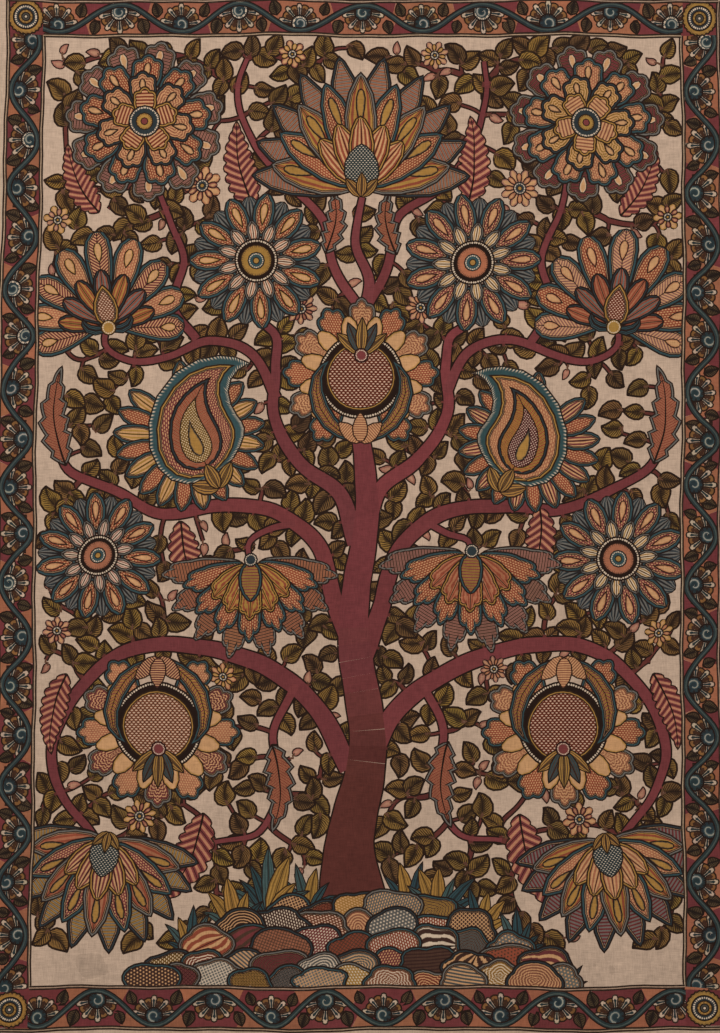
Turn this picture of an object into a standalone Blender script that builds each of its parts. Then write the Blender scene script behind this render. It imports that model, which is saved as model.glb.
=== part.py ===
"""Kalamkari panel: one length of plain cotton cloth, painted and dyed, lying face up on a flat surface.

Metres, +Z up. The cloth's width runs along X and its length along Y, with the top of the painting
towards +Y. The origin is at the middle of the cloth's box, on the surface that it lies on.
"""

import bpy
import numpy as np
from math import radians

# Driving dimensions of the cut cloth, in metres. It was cut and drawn a little out of square.
TOP_WIDTH = 1.112
BOTTOM_WIDTH = 1.141
LENGTH = 1.592
TOP_SHIFT = 0.010  # how far the top edge's middle lies to the right of the bottom edge's middle

# The solid's thickness over the open cloth and over the turned hem.
CLOTH_THICK = 0.0010
HEM_THICK = 0.0020
HEM_WIDTH = 0.009
HEM_STEP = 0.002  # the width over which the hem's extra layers rise

# The cloth's edges wander by a few millimetres: how far, and how many waves along each side.
SIDE_WANDER = 0.0030
SIDE_WAVES = 1.5
END_WANDER = 0.0018
END_WAVES = 2.6

# The grid of the solid, in cells across and along between the hems.
CELLS_ACROSS = 26
CELLS_ALONG = 36

# Low swells where the cloth stands off the surface: middle x and y, length, direction in degrees
# from +X, width and height.
SWELLS = (
    # x      y      length  turn  width  height
    (-0.43, 0.66, 0.34, 38, 0.110, 0.0034),
    (0.44, 0.58, 0.30, 128, 0.120, 0.0030),
    (-0.50, -0.12, 0.42, 84, 0.100, 0.0026),
    (0.49, -0.20, 0.38, 97, 0.110, 0.0030),
    (-0.36, -0.69, 0.36, 158, 0.115, 0.0032),
    (0.33, -0.71, 0.32, 24, 0.120, 0.0028),
    (0.06, 0.73, 0.30, 4, 0.100, 0.0022),
)


def stations(cells, length):
    """Shares from 0 to 1 along one direction: even cells, with a hem's width and step at each end."""
    step_in = (HEM_WIDTH + HEM_STEP) / length
    hem_in = HEM_WIDTH / length
    inner = np.linspace(step_in, 1 - step_in, cells + 1)
    return np.concatenate([[0, hem_in], inner, [1 - hem_in, 1]])


def cloth_outline(across, along):
    """The place in x and y of a point given as shares of the width and of the length.

    Each row is straight between the two sides. The sides lean from the bottom width to the top
    width, and all four edges wander as sine waves that fade towards the middle of the cloth.
    """
    width = BOTTOM_WIDTH + (TOP_WIDTH - BOTTOM_WIDTH) * along
    middle = TOP_SHIFT * (along - 0.5)
    side = 2 * across - 1
    end = 2 * along - 1
    wander_x = SIDE_WANDER * np.sin(2 * np.pi * SIDE_WAVES * along + side) * side**2
    wander_y = END_WANDER * np.sin(2 * np.pi * END_WAVES * across + 2 * end) * end**2
    x = middle + side * width / 2 + wander_x
    y = end * LENGTH / 2 + wander_y
    return x, y


def swell_height(x, y):
    """How far the cloth stands off the surface: each swell is a rounded ridge that ends softly."""
    lift = np.zeros_like(x)
    for middle_x, middle_y, length, turn, width, height in SWELLS:
        c, s = np.cos(radians(turn)), np.sin(radians(turn))
        along = ((x - middle_x) * c + (y - middle_y) * s) / (length / 2)
        across = ((y - middle_y) * c - (x - middle_x) * s) / (width / 2)
        inside = np.clip(1 - along**2 - across**2, 0, None)
        lift = np.maximum(lift, height * inside**1.5)
    return lift


def cloth_material():
    """Cotton dyed in browns and olives, as the whole cloth reads from a few steps away."""
    material = bpy.data.materials.new("dyed_cotton")
    material.use_nodes = True
    shader = material.node_tree.nodes["Principled BSDF"]
    shader.inputs["Base Color"].default_value = (0.20, 0.12, 0.08, 1)
    shader.inputs["Roughness"].default_value = 0.9
    shader.inputs["Metallic"].default_value = 0.0
    return material


def shape_sheet(mesh, across, along):
    """Moves a flat grid's vertices, which run row by row, to the cloth's outline and swells."""
    rows, columns = np.meshgrid(along, across, indexing="ij")
    x, y = cloth_outline(columns, rows)
    x -= (x.min() + x.max()) / 2
    y -= (y.min() + y.max()) / 2
    places = np.stack([x, y, swell_height(x, y)], axis=-1).reshape(-1)
    mesh.vertices.foreach_set("co", places)
    mesh.update()


def mark_hem(cloth, across, along):
    """Puts the vertices of the turned hem, round all four edges, in a vertex group."""
    hem = cloth.vertex_groups.new(name="hem")
    columns = len(across)
    edge_rows = {0, 1, len(along) - 2, len(along) - 1}
    edge_columns = {0, 1, columns - 2, columns - 1}
    marked = [
        row * columns + column
        for row in range(len(along))
        for column in range(columns)
        if row in edge_rows or column in edge_columns
    ]
    hem.add(marked, 1.0, "REPLACE")


def make_cloth(collection):
    """The panel's one piece of cloth, with its hem as a part of it."""
    across = stations(CELLS_ACROSS, (TOP_WIDTH + BOTTOM_WIDTH) / 2)
    along = stations(CELLS_ALONG, LENGTH)
    bpy.ops.mesh.primitive_grid_add(
        x_subdivisions=len(across) - 1, y_subdivisions=len(along) - 1, size=1
    )
    cloth = bpy.context.active_object
    cloth.name = cloth.data.name = "painted_cloth"
    shape_sheet(cloth.data, across, along)
    mark_hem(cloth, across, along)
    cloth.data.materials.append(cloth_material())

    thickness = cloth.modifiers.new("thickness", "SOLIDIFY")
    thickness.thickness = HEM_THICK
    thickness.offset = 1
    thickness.vertex_group = "hem"
    thickness.thickness_vertex_group = CLOTH_THICK / HEM_THICK

    for holder in list(cloth.users_collection):
        holder.objects.unlink(cloth)
    collection.objects.link(cloth)


def main():
    for thing in list(bpy.data.objects):
        bpy.data.objects.remove(thing)
    panel = bpy.data.collections.new("kalamkari_panel")
    bpy.context.scene.collection.children.link(panel)
    make_cloth(panel)


main()
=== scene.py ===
"""Kalamkari panel: hand-loomed cotton, drawn with a pen and painted with dyes, lying face up.

Metres, +Z up. The painting is drawn flat first, in painting coordinates: x across the cloth and y
along it, from the cloth's middle. It is then laid on the cloth's own outline and low swells.
"""

from math import cos, pi, radians, sin

import bpy
import numpy as np
from mathutils.geometry import delaunay_2d_cdt
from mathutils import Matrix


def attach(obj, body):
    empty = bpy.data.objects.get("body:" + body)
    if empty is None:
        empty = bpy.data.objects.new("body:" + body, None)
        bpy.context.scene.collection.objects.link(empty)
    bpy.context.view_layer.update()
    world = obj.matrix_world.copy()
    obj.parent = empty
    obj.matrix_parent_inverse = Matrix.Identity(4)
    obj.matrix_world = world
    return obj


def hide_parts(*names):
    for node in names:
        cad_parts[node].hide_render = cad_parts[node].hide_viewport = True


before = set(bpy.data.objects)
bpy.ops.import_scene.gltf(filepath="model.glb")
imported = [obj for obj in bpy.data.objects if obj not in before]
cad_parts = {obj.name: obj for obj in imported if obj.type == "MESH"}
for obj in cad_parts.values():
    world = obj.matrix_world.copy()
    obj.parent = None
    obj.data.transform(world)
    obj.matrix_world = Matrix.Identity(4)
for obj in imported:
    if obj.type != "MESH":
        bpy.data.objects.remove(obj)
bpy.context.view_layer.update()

# The cut of the cloth. The panel is one length of plain cotton, cut a little out of square: the sides
# lean and all four edges wander. It lies flat but for a few low swells near its edges, and the
# narrow hem round it is turned twice, so that it is thicker there.
TOP_WIDTH = 1.112
BOTTOM_WIDTH = 1.141
MEAN_WIDTH = (TOP_WIDTH + BOTTOM_WIDTH) / 2
LENGTH = 1.592
TOP_SHIFT = 0.010
SIDE_WANDER = 0.0030
SIDE_WAVES = 1.5
END_WANDER = 0.0018
END_WAVES = 2.6
CLOTH_TOP = 0.0010
HEM_TOP = 0.0020
HEM_WIDTH = 0.009
HEM_STEP = 0.002
LONG_STRAY = 0.0011
SHORT_STRAY = 0.0005
STRAY_FADE = 0.020
SWELLS = (
    # x      y      length  turn  width  height
    (-0.43, 0.66, 0.34, 38, 0.110, 0.0034),
    (0.44, 0.58, 0.30, 128, 0.120, 0.0030),
    (-0.50, -0.12, 0.42, 84, 0.100, 0.0026),
    (0.49, -0.20, 0.38, 97, 0.110, 0.0030),
    (-0.36, -0.69, 0.36, 158, 0.115, 0.0032),
    (0.33, -0.71, 0.32, 24, 0.120, 0.0028),
    (0.06, 0.73, 0.30, 4, 0.100, 0.0022),
)


def cloth_outline(across, along):
    """The place in x and y of a point given as shares of the width and of the length.

    The sides lean from the bottom width to the top width, and all four edges wander as sine waves
    that fade towards the middle of the cloth.
    """
    width = BOTTOM_WIDTH + (TOP_WIDTH - BOTTOM_WIDTH) * along
    middle = TOP_SHIFT * (along - 0.5)
    side = 2 * across - 1
    end = 2 * along - 1
    wander_x = SIDE_WANDER * np.sin(2 * pi * SIDE_WAVES * along + side) * side**2
    wander_y = END_WANDER * np.sin(2 * pi * END_WAVES * across + 2 * end) * end**2
    return middle + side * width / 2 + wander_x, end * LENGTH / 2 + wander_y


def cloth_middle():
    """The middle of the box round the cloth, from points along all four edges."""
    share = np.linspace(0, 1, 400)
    left, _ = cloth_outline(0 * share, share)
    right, _ = cloth_outline(0 * share + 1, share)
    _, bottom = cloth_outline(share, 0 * share)
    _, top = cloth_outline(share, 0 * share + 1)
    return (left.min() + right.max()) / 2, (bottom.min() + top.max()) / 2


def swell_height(x, y):
    """How far the cloth stands off the surface: each swell is a rounded ridge that ends softly."""
    lift = np.zeros_like(x)
    for middle_x, middle_y, length, turn, width, height in SWELLS:
        c, s = cos(radians(turn)), sin(radians(turn))
        along = ((x - middle_x) * c + (y - middle_y) * s) / (length / 2)
        across = ((y - middle_y) * c - (x - middle_x) * s) / (width / 2)
        inside = np.clip(1 - along**2 - across**2, 0, None)
        lift = np.maximum(lift, height * inside**1.5)
    return lift


def edge_distance(x, y):
    """How far a point of the painting lies from the nearest edge of the cloth."""
    return np.minimum(MEAN_WIDTH / 2 - np.abs(x), LENGTH / 2 - np.abs(y))


def lay_on_cloth(x, y):
    """Painting coordinates turned to places on the lying cloth, and its height there.

    A line drawn by hand strays by about a millimetre, as sine waves of a few lengths. The straying
    fades out at the cloth's edge.
    """
    fade = np.clip(edge_distance(x, y) / STRAY_FADE, 0, 1)
    far_x = np.sin(2 * pi * y / 0.23 + 2 * np.sin(x / 0.11))
    far_y = np.sin(2 * pi * x / 0.21 + 2 * np.sin(y / 0.13))
    near_x, near_y = np.sin(y / 0.011 + x / 0.03), np.sin(x / 0.012 - y / 0.03)
    across = (x + fade * (LONG_STRAY * far_x + SHORT_STRAY * near_x)) / MEAN_WIDTH + 0.5
    along = (y + fade * (LONG_STRAY * far_y + SHORT_STRAY * near_y)) / LENGTH + 0.5
    cloth_x, cloth_y = cloth_outline(across, along)
    middle_x, middle_y = cloth_middle()
    cloth_x = cloth_x - middle_x
    cloth_y = cloth_y - middle_y
    return cloth_x, cloth_y, swell_height(cloth_x, cloth_y)


# The bare ground. The cotton is soaked in milk and myrobalan and dries to a warm tan, on which every
# line is then drawn with a bamboo pen in iron black, and every field filled with a brush. A drawn
# shape is a set of triangles. Each corner has a place in its shape, in millimetres: how far it is
# along the shape, how far across it, and how far inside its outline.
MM = 1000
PATTERNS = (
    "plain", "hatch", "dashes", "barbs", "scales", "dots", "contours",
    "lattice", "stripes", "beads", "glow", "teeth", "ribs",
)
LEAST_DOUBLED_AREA = 4e-9
DEEP_INSIDE = 50.0  # the place, in millimetres inside the outline, of a shape that shows no outline
hand = np.random.default_rng(11)
painting = []


def seen(red, green, blue):
    """A dye's colour as the eye sees it, 0 to 255, turned to the linear values that shaders take."""
    share = np.array([red, green, blue]) / 255
    return np.where(share <= 0.04045, share / 12.92, ((share + 0.055) / 1.055) ** 2.4)


GROUND = seen(186, 158, 135)
INK = seen(36, 22, 16)
BONE = seen(198, 174, 148)
CREAM = seen(190, 142, 98)
MADDER = seen(114, 54, 52)
BRICK = seen(134, 66, 46)
SALMON = seen(158, 98, 70)
OCHRE = seen(160, 117, 58)
UMBER = seen(74, 50, 38)
TEAL = seen(50, 70, 72)
DEEP_TEAL = seen(44, 50, 52)
SLATE = seen(104, 98, 90)
DUSK_PINK = seen(150, 100, 86)


# Ink soaks sideways into the weave, so a line dries wider than the pen that drew it.
INK_SPREAD = 1.55


def look(dye, pattern="plain", period=4.0, mark=CREAM, rim=TEAL, rim_width=0.0, pale=0.0, outline=1.5):
    """How a shape is filled: its dye, its pattern with the marks' dye, and the bands in its outline."""
    return {
        "dye": dye,
        "pattern": PATTERNS.index(pattern),
        "period": period,
        "mark": mark,
        "rim": rim,
        "lines": (INK_SPREAD * outline, rim_width, pale),
    }


def cross(first, second):
    """The area that two flat moves span, below zero where the second turns to the right."""
    return first[..., 0] * second[..., 1] - first[..., 1] * second[..., 0]


def triangle_sides(corners):
    """Each triangle's two sides from its first corner, and twice its area."""
    side_a = corners[:, 1] - corners[:, 0]
    side_b = corners[:, 2] - corners[:, 0]
    return side_a, side_b, cross(side_a, side_b)


def cells_between(near, far):
    """Two triangles for each cell between two rows of points."""
    return [np.stack([near[:-1], near[1:], far[1:]], axis=1),
            np.stack([near[:-1], far[1:], far[:-1]], axis=1)]


def ahead_and_aside(heading):
    """Unit steps in a direction and to its left."""
    return np.array([cos(heading), sin(heading)]), np.array([-sin(heading), cos(heading)])


def running_total(steps):
    """What the steps add up to, before the first one and after each."""
    return np.concatenate([[0], np.cumsum(steps)])


def along_and_aside(path):
    """How far along a path each of its points lies, in millimetres, and the unit step to its left."""
    step = np.gradient(path, axis=0)
    step /= np.maximum(np.linalg.norm(step, axis=1), 1e-9)[:, None]
    run = MM * running_total(np.linalg.norm(np.diff(path, axis=0), axis=1))
    return run, np.stack([-step[:, 1], step[:, 0]], axis=1)


def outline_edges(corners):
    """Which edges of a shape's triangles no other of its triangles shares."""
    _, ends = np.unique(np.round(corners.reshape(-1, 2), 7), axis=0, return_inverse=True)
    ends = ends.reshape(-1, 3)
    edges = np.sort(np.stack([ends, np.roll(ends, -1, axis=1)], axis=2).reshape(-1, 2), axis=1)
    _, which, count = np.unique(edges, axis=0, return_inverse=True, return_counts=True)
    return (count[which.ravel()] == 1).reshape(-1, 3)


def lay_down(corners, places, shape_look, lines=(True, True, True)):
    """Adds a shape to the painting: triangles turned to run anticlockwise, none without an area.

    lines says which edges of each triangle the finished mesh keeps where they show. Of a shape with
    one flat dye and no outline, only those round it are kept.
    """
    lines = np.broadcast_to(lines, (len(corners), 3)).copy()
    *_, doubled = triangle_sides(corners)
    turned = doubled < 0
    corners[turned] = corners[turned][:, [0, 2, 1]]
    places[turned] = places[turned][:, [0, 2, 1]]
    lines[turned] = lines[turned][:, [2, 1, 0]]
    kept = np.abs(doubled) > LEAST_DOUBLED_AREA
    if shape_look["pattern"] == 0 and not any(shape_look["lines"]):
        lines &= outline_edges(corners)
    painting.append((corners[kept], places[kept], lines[kept], shape_look, hand.normal(0, 1, 4)))


def off_line(point, start, end):
    """The distance, in millimetres, of points from the lines through start and end."""
    run = end - start
    return MM * np.abs(cross(run, point - start)) / np.maximum(np.linalg.norm(run, axis=-1), 1e-9)


def blade(spine, left, right, shape_look):
    """A shape along a spine, whose outline stands off it by left and right on its two sides."""
    run, aside = along_and_aside(spine)
    corners, places, lines = [], [], []
    for reach, sign in ((left, 1), (right, -1)):
        rim = spine + sign * aside * reach[:, None]
        s0, s1, r0, r1 = spine[:-1], spine[1:], rim[:-1], rim[1:]
        none = np.zeros(len(s0))
        at_s0 = np.stack([run[:-1], none, off_line(s0, r0, r1)], axis=1)
        at_s1 = np.stack([run[1:], none, off_line(s1, r0, r1)], axis=1)
        at_r0 = np.stack([run[:-1], sign * MM * reach[:-1], none], axis=1)
        at_r1 = np.stack([run[1:], sign * MM * reach[1:], none], axis=1)
        corners += cells_between(spine, rim)
        places += [np.stack([at_s0, at_s1, at_r1], axis=1), np.stack([at_s0, at_r1, at_r0], axis=1)]
        lines += [np.tile([True, True, False], (len(s0), 1)), np.tile([False, True, True], (len(s0), 1))]
    lay_down(np.concatenate(corners), np.concatenate(places), shape_look, np.concatenate(lines))


def fan(centre, outline, shape_look, grain=None):
    """A shape seen whole from one point inside it: triangles from there to each step of its outline.

    Its pattern runs round the outline in a whole number of periods, or, where grain gives a
    direction, straight along that direction.
    """
    centre = np.broadcast_to(np.asarray(centre, float), outline.shape)
    following = np.roll(outline, -1, axis=0)
    none = np.zeros(len(outline))
    depth = off_line(centre, outline, following)
    corners = np.stack([centre, outline, following], axis=1)
    if grain is None:
        run = np.cumsum(MM * np.linalg.norm(following - outline, axis=1))
        rounds = max(1, round(run[-1] / shape_look["period"]))
        run *= rounds * shape_look["period"] / run[-1]
        start = np.concatenate([[0], run[:-1]])
        radius = MM * np.linalg.norm(outline - centre, axis=1)
        at_outline = np.stack([start, radius, none], axis=1)
        at_following = np.stack([run, np.roll(radius, -1), none], axis=1)
        at_centre = np.stack([(start + run) / 2, none, depth], axis=1)
    else:
        ahead, aside = ahead_and_aside(grain)
        from_centre = MM * (outline - centre)
        at_outline = np.stack([from_centre @ ahead, from_centre @ aside, none], axis=1)
        at_following = np.roll(at_outline, -1, axis=0)
        at_centre = np.stack([none, none, depth], axis=1)
    lay_down(corners, np.stack([at_centre, at_outline, at_following], axis=1), shape_look)


def stations(length, hem, cell):
    """Steps along one side of the cloth: the hem and its step at each end and even cells between."""
    inner = length / 2 - hem - HEM_STEP
    even = np.linspace(-inner, inner, round(2 * inner / cell) + 1)
    ends = np.array([length / 2 - hem, length / 2])
    return np.concatenate([-ends[::-1], even, ends])


GROUND_CELL = 0.0112
columns = stations(MEAN_WIDTH, HEM_WIDTH, GROUND_CELL)
rows = stations(LENGTH, HEM_WIDTH, GROUND_CELL)


def lay_ground():
    """The undyed cloth under the painting: the whole rectangle, in two triangles."""
    x, y = MEAN_WIDTH / 2, LENGTH / 2
    corners = np.array([[[-x, -y], [x, -y], [x, y]], [[-x, -y], [x, y], [-x, y]]])
    lay_down(corners, np.tile([0.0, 0.0, DEEP_INSIDE], (2, 3, 1)), look(GROUND), (False, False, False))
    painting[-1][-1][:] = 0


def rectangle_lines(inset):
    """A rectangle's edge, a distance inside the cloth's, as short lines between the stations."""
    x = np.clip(columns, inset - MEAN_WIDTH / 2, MEAN_WIDTH / 2 - inset)
    y = np.clip(rows, inset - LENGTH / 2, LENGTH / 2 - inset)
    around = np.concatenate([
        np.column_stack([x, 0 * x + y[0]]), np.column_stack([0 * y + x[-1], y]),
        np.column_stack([x, 0 * x + y[-1]])[::-1], np.column_stack([0 * y + x[0], y])[::-1],
    ])
    return around[:-1], around[1:]


lay_ground()

# Where the painting's main things stand. The field inside the border holds a flowering tree on a
# mound, drawn nearly alike on both sides of its trunk. Its boughs, flowers and long leaves are placed
# first, because the small leaves then fill the room that is left.
FIELD_LEFT, FIELD_RIGHT = -0.487, 0.4845
FIELD_BOTTOM, FIELD_TOP = -0.7065, 0.722
TRUNK = ((0.0, -0.640), (-0.012, -0.50), (0.014, -0.34), (-0.010, -0.16), (0.010, 0.00), (0.0, 0.13))
TRUNK_HALF_WIDTHS = (0.062, 0.034, 0.027, 0.023, 0.018, 0.013)
BOUGHS = (
    # width at its start and end, and the points it passes, from the trunk outwards
    (0.030, 0.009, ((0.010, -0.38), (0.060, -0.285), (0.14, -0.222), (0.25, -0.192), (0.355, -0.203),
                    (0.432, -0.27), (0.455, -0.36), (0.435, -0.43), (0.398, -0.472))),
    (0.028, 0.008, ((0.0, -0.22), (0.040, -0.13), (0.062, -0.045), (0.125, 0.004), (0.22, 0.016),
                    (0.30, 0.008), (0.37, 0.040), (0.435, 0.072), (0.458, 0.13), (0.452, 0.19))),
    (0.024, 0.009, ((0.004, -0.04), (0.030, 0.040), (0.095, 0.088), (0.128, 0.155), (0.122, 0.225),
                    (0.132, 0.268), (0.162, 0.298))),
    (0.015, 0.007, ((0.126, 0.185), (0.165, 0.244), (0.225, 0.262), (0.29, 0.244), (0.345, 0.236),
                    (0.384, 0.258))),
    (0.012, 0.006, ((0.250, 0.259), (0.283, 0.315), (0.272, 0.385), (0.292, 0.445), (0.312, 0.488))),
    (0.014, 0.006, ((0.004, 0.310), (0.045, 0.372), (0.058, 0.445), (0.115, 0.500), (0.168, 0.562),
                    (0.186, 0.640), (0.176, 0.690))),
    (0.012, 0.006, ((0.095, -0.252), (0.122, -0.325), (0.118, -0.41), (0.150, -0.475), (0.215, -0.488))),
    (0.010, 0.006, ((0.100, -0.010), (0.135, -0.022), (0.163, -0.040))),
    (0.010, 0.006, ((0.225, 0.014), (0.246, 0.024), (0.254, 0.044))),
)
TOP_BOUGH = (0.018, 0.008, ((0.0, 0.29), (0.012, 0.35), (-0.008, 0.41), (0.0, 0.48)))
FLOWERS = (
    # kind, x, y, radius, direction of its head in degrees on the right hand side
    ("lotus", 0.0, 0.585, 0.112, 90),
    ("peony", 0.328, 0.592, 0.108, 70),
    ("rosette", 0.165, 0.385, 0.092, 100),
    ("palmette", 0.388, 0.340, 0.084, 82),
    ("pomegranate", 0.0, 0.205, 0.104, 90),
    ("boteh", 0.258, 0.130, 0.106, 60),
    ("rosette", 0.386, -0.060, 0.088, 20),
    ("carnation", 0.165, -0.118, 0.082, -90),
    ("pomegranate", 0.302, -0.315, 0.108, -90),
    ("lotus", 0.382, -0.555, 0.090, -82),
)
LONG_LEAVES = (
    # base x and y, heading, turn of the whole spine in degrees, length, width, kind
    (0.160, 0.468, 78, 30, 0.135, 0.060, "feather"),
    (0.398, 0.452, 48, 40, 0.118, 0.052, "feather"),
    (0.436, 0.075, 68, 44, 0.155, 0.064, "lobed"),
    (0.272, 0.006, -80, -36, 0.135, 0.056, "feather"),
    (0.128, -0.345, -112, 46, 0.135, 0.062, "lobed"),
    (0.238, -0.448, -82, 40, 0.155, 0.066, "feather"),
    (0.440, -0.235, -62, -34, 0.125, 0.050, "feather"),
    (0.060, 0.392, 118, -50, 0.105, 0.050, "lobed"),
)
SMALL_ROSETTES = (
    # x, y, radius
    (0.240, 0.492, 0.030),
    (0.092, 0.312, 0.024),
    (0.458, 0.448, 0.022),
    (0.200, -0.228, 0.021),
    (0.330, -0.452, 0.026),
    (0.452, -0.175, 0.022),
    (0.108, 0.690, 0.022),
)


def flowing(points, spacing):
    """A smooth path through given points, with stations about spacing apart.

    Each stretch is a cubic whose slope at a point is that of the chord between its neighbours.
    """
    points = np.asarray(points, float)
    chord = running_total(np.linalg.norm(np.diff(points, axis=0), axis=1))
    slope = np.gradient(points, chord, axis=0)
    at = np.linspace(0, chord[-1], max(3, round(chord[-1] / spacing) + 1))
    piece = np.clip(np.searchsorted(chord, at, side="right") - 1, 0, len(points) - 2)
    gap = (chord[piece + 1] - chord[piece])[:, None]
    t = (at - chord[piece])[:, None] / gap
    stay = (2 * t**3 - 3 * t**2 + 1) * points[piece] + (3 * t**2 - 2 * t**3) * points[piece + 1]
    lean = (t**3 - 2 * t**2 + t) * slope[piece] + (t**3 - t**2) * slope[piece + 1]
    return stay + gap * lean


def point_at(centre, heading, distance):
    """The point at a distance from a centre in a direction."""
    return np.asarray(centre) + distance * np.array([cos(heading), sin(heading)])


def hand_placed(side, x, y, stray=0.004):
    """A point of the right half, or mirrored to the left one, as nearly as a hand repeats it."""
    return np.array([side * x, y]) + hand.normal(0, stray, 2)


def both_sides():
    """Every flower, long leaf, small rosette and bough of the whole field, mirrored by hand."""
    boughs, flowers, long_leaves, rosettes = [], [], [], []
    for side in (1, -1):
        for start_width, end_width, points in BOUGHS:
            path = [hand_placed(side, x, y, 0.0035) for x, y in points]
            for _, x, y, radius, turn in FLOWERS:
                foot = point_at((x, y), radians(turn), -0.55 * radius)
                if np.hypot(*(foot - points[-1])) < 0.75 * radius:
                    path.append(foot * (side, 1))
                    break
            path = flowing(path, 0.009)
            boughs.append((path, np.linspace(start_width, end_width, len(path)) / 2))
        for kind, x, y, radius, turn in FLOWERS:
            if x > 0 or side == 1:
                heading = radians(turn if side == 1 else 180 - turn)
                centre = hand_placed(side, x, y)
                flowers.append((kind, centre, radius * hand.uniform(1.08, 1.16), heading, side))
        for x, y, turn, bend, length, width, kind in LONG_LEAVES:
            heading = radians(turn if side == 1 else 180 - turn) + hand.normal(0, 0.08)
            long_leaves.append((hand_placed(side, x, y), heading, side * radians(bend), length, width, kind))
        for x, y, radius in SMALL_ROSETTES:
            rosettes.append((hand_placed(side, x, y), radius))
    start_width, end_width, points = TOP_BOUGH
    path = flowing(points, 0.009)
    boughs.append((path, np.linspace(start_width, end_width, len(path)) / 2))
    return boughs, flowers, long_leaves, rosettes


boughs, flowers, long_leaves, small_rosettes = both_sides()
trunk = flowing(TRUNK, 0.012)
trunk_half = np.interp(np.linspace(0, 1, len(trunk)), np.linspace(0, 1, len(TRUNK_HALF_WIDTHS)),
                       TRUNK_HALF_WIDTHS)


def unit_steps(angles):
    """One unit step in the direction of each angle."""
    return np.stack([np.cos(angles), np.sin(angles)], axis=1)


def bent_spine(base, heading, length, bend, steps):
    """A spine that turns more and more towards its tip, by bend in all, and its shares of length."""
    share = (1 - np.cos(pi * np.arange(steps + 1) / steps)) / 2
    middle = (share[1:] + share[:-1]) / 2
    turn = heading + bend * middle**1.6
    moves = length * np.diff(share)[:, None] * unit_steps(turn)
    return np.asarray(base) + np.concatenate([[[0, 0]], np.cumsum(moves, axis=0)]), share


# The small leaves and their twigs. Leaves are scattered evenly over the room that is left. Twigs then
# grow out of the boughs to reach them: in each round every leaf that isn't reached yet pulls the
# nearest joint of the tree towards it, so the twigs fork and curve as the room asks.
LEAF_SPACING = 0.0246
LEAF_ROOM = 0.004
LEAF_MARGIN = 0.014
LEAF_TRIES = 70000
MOUND_ROOM = 0.045
MOUND_HALF_WIDTH = 0.335
BARE_CORNER_TOP = -0.640
BARE_CORNER_START = 0.26
FORKS = slice(4, None, 5)
TWIG_STEP = 0.007
TWIG_ROUNDS = 90
TWIG_MOMENTUM = 0.85
TWIG_REACH = 0.018
LONGEST_REACH = 2.8 * TWIG_REACH
TWIG_TIP = 0.0030
TWIG_GAIN = 0.40
TWIG_LIMIT = 0.012


def mound_top(x):
    """The height of the mound's upper edge: a low arch."""
    return -0.575 - 0.13 * (x / 0.30) ** 2


def taken_places():
    """Circles that are already drawn on, as rows of x, y and radius."""
    circles = [(*centre, 0.87 * radius) for _, centre, radius, _, _ in flowers]
    circles += [(*centre, radius + LEAF_ROOM) for centre, radius in small_rosettes]
    for base, heading, bend, length, width, _ in long_leaves:
        spine, _ = bent_spine(base, heading, length, bend, 6)
        circles += [(*point, width / 2 + LEAF_ROOM) for point in spine]
    for path, half in boughs + [(trunk, trunk_half)]:
        circles += [(*point, reach + LEAF_ROOM) for point, reach in zip(path[::2], half[::2])]
    return np.array(circles)


def scatter_leaves():
    """Leaf middles: random places, each kept where it is clear of what is drawn and of the others."""
    tries = np.stack([hand.uniform(low + LEAF_MARGIN, high - LEAF_MARGIN, LEAF_TRIES)
                      for low, high in ((FIELD_LEFT, FIELD_RIGHT), (FIELD_BOTTOM, FIELD_TOP))], axis=1)
    clear = np.ones(len(tries), bool)
    for x, y, radius in taken_places():
        clear &= np.hypot(tries[:, 0] - x, tries[:, 1] - y) > radius
    off_middle = np.abs(tries[:, 0])
    on_mound = (tries[:, 1] < mound_top(tries[:, 0]) + MOUND_ROOM) & (off_middle < MOUND_HALF_WIDTH)
    bare_corner = (tries[:, 1] < BARE_CORNER_TOP) & (off_middle > BARE_CORNER_START)
    tries = tries[clear & ~on_mound & ~bare_corner]
    kept = np.empty((0, 2))
    for place in tries:
        if len(kept) == 0 or np.min(np.hypot(*(kept - place).T)) > LEAF_SPACING:
            kept = np.vstack([kept, place])
    return kept


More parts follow.
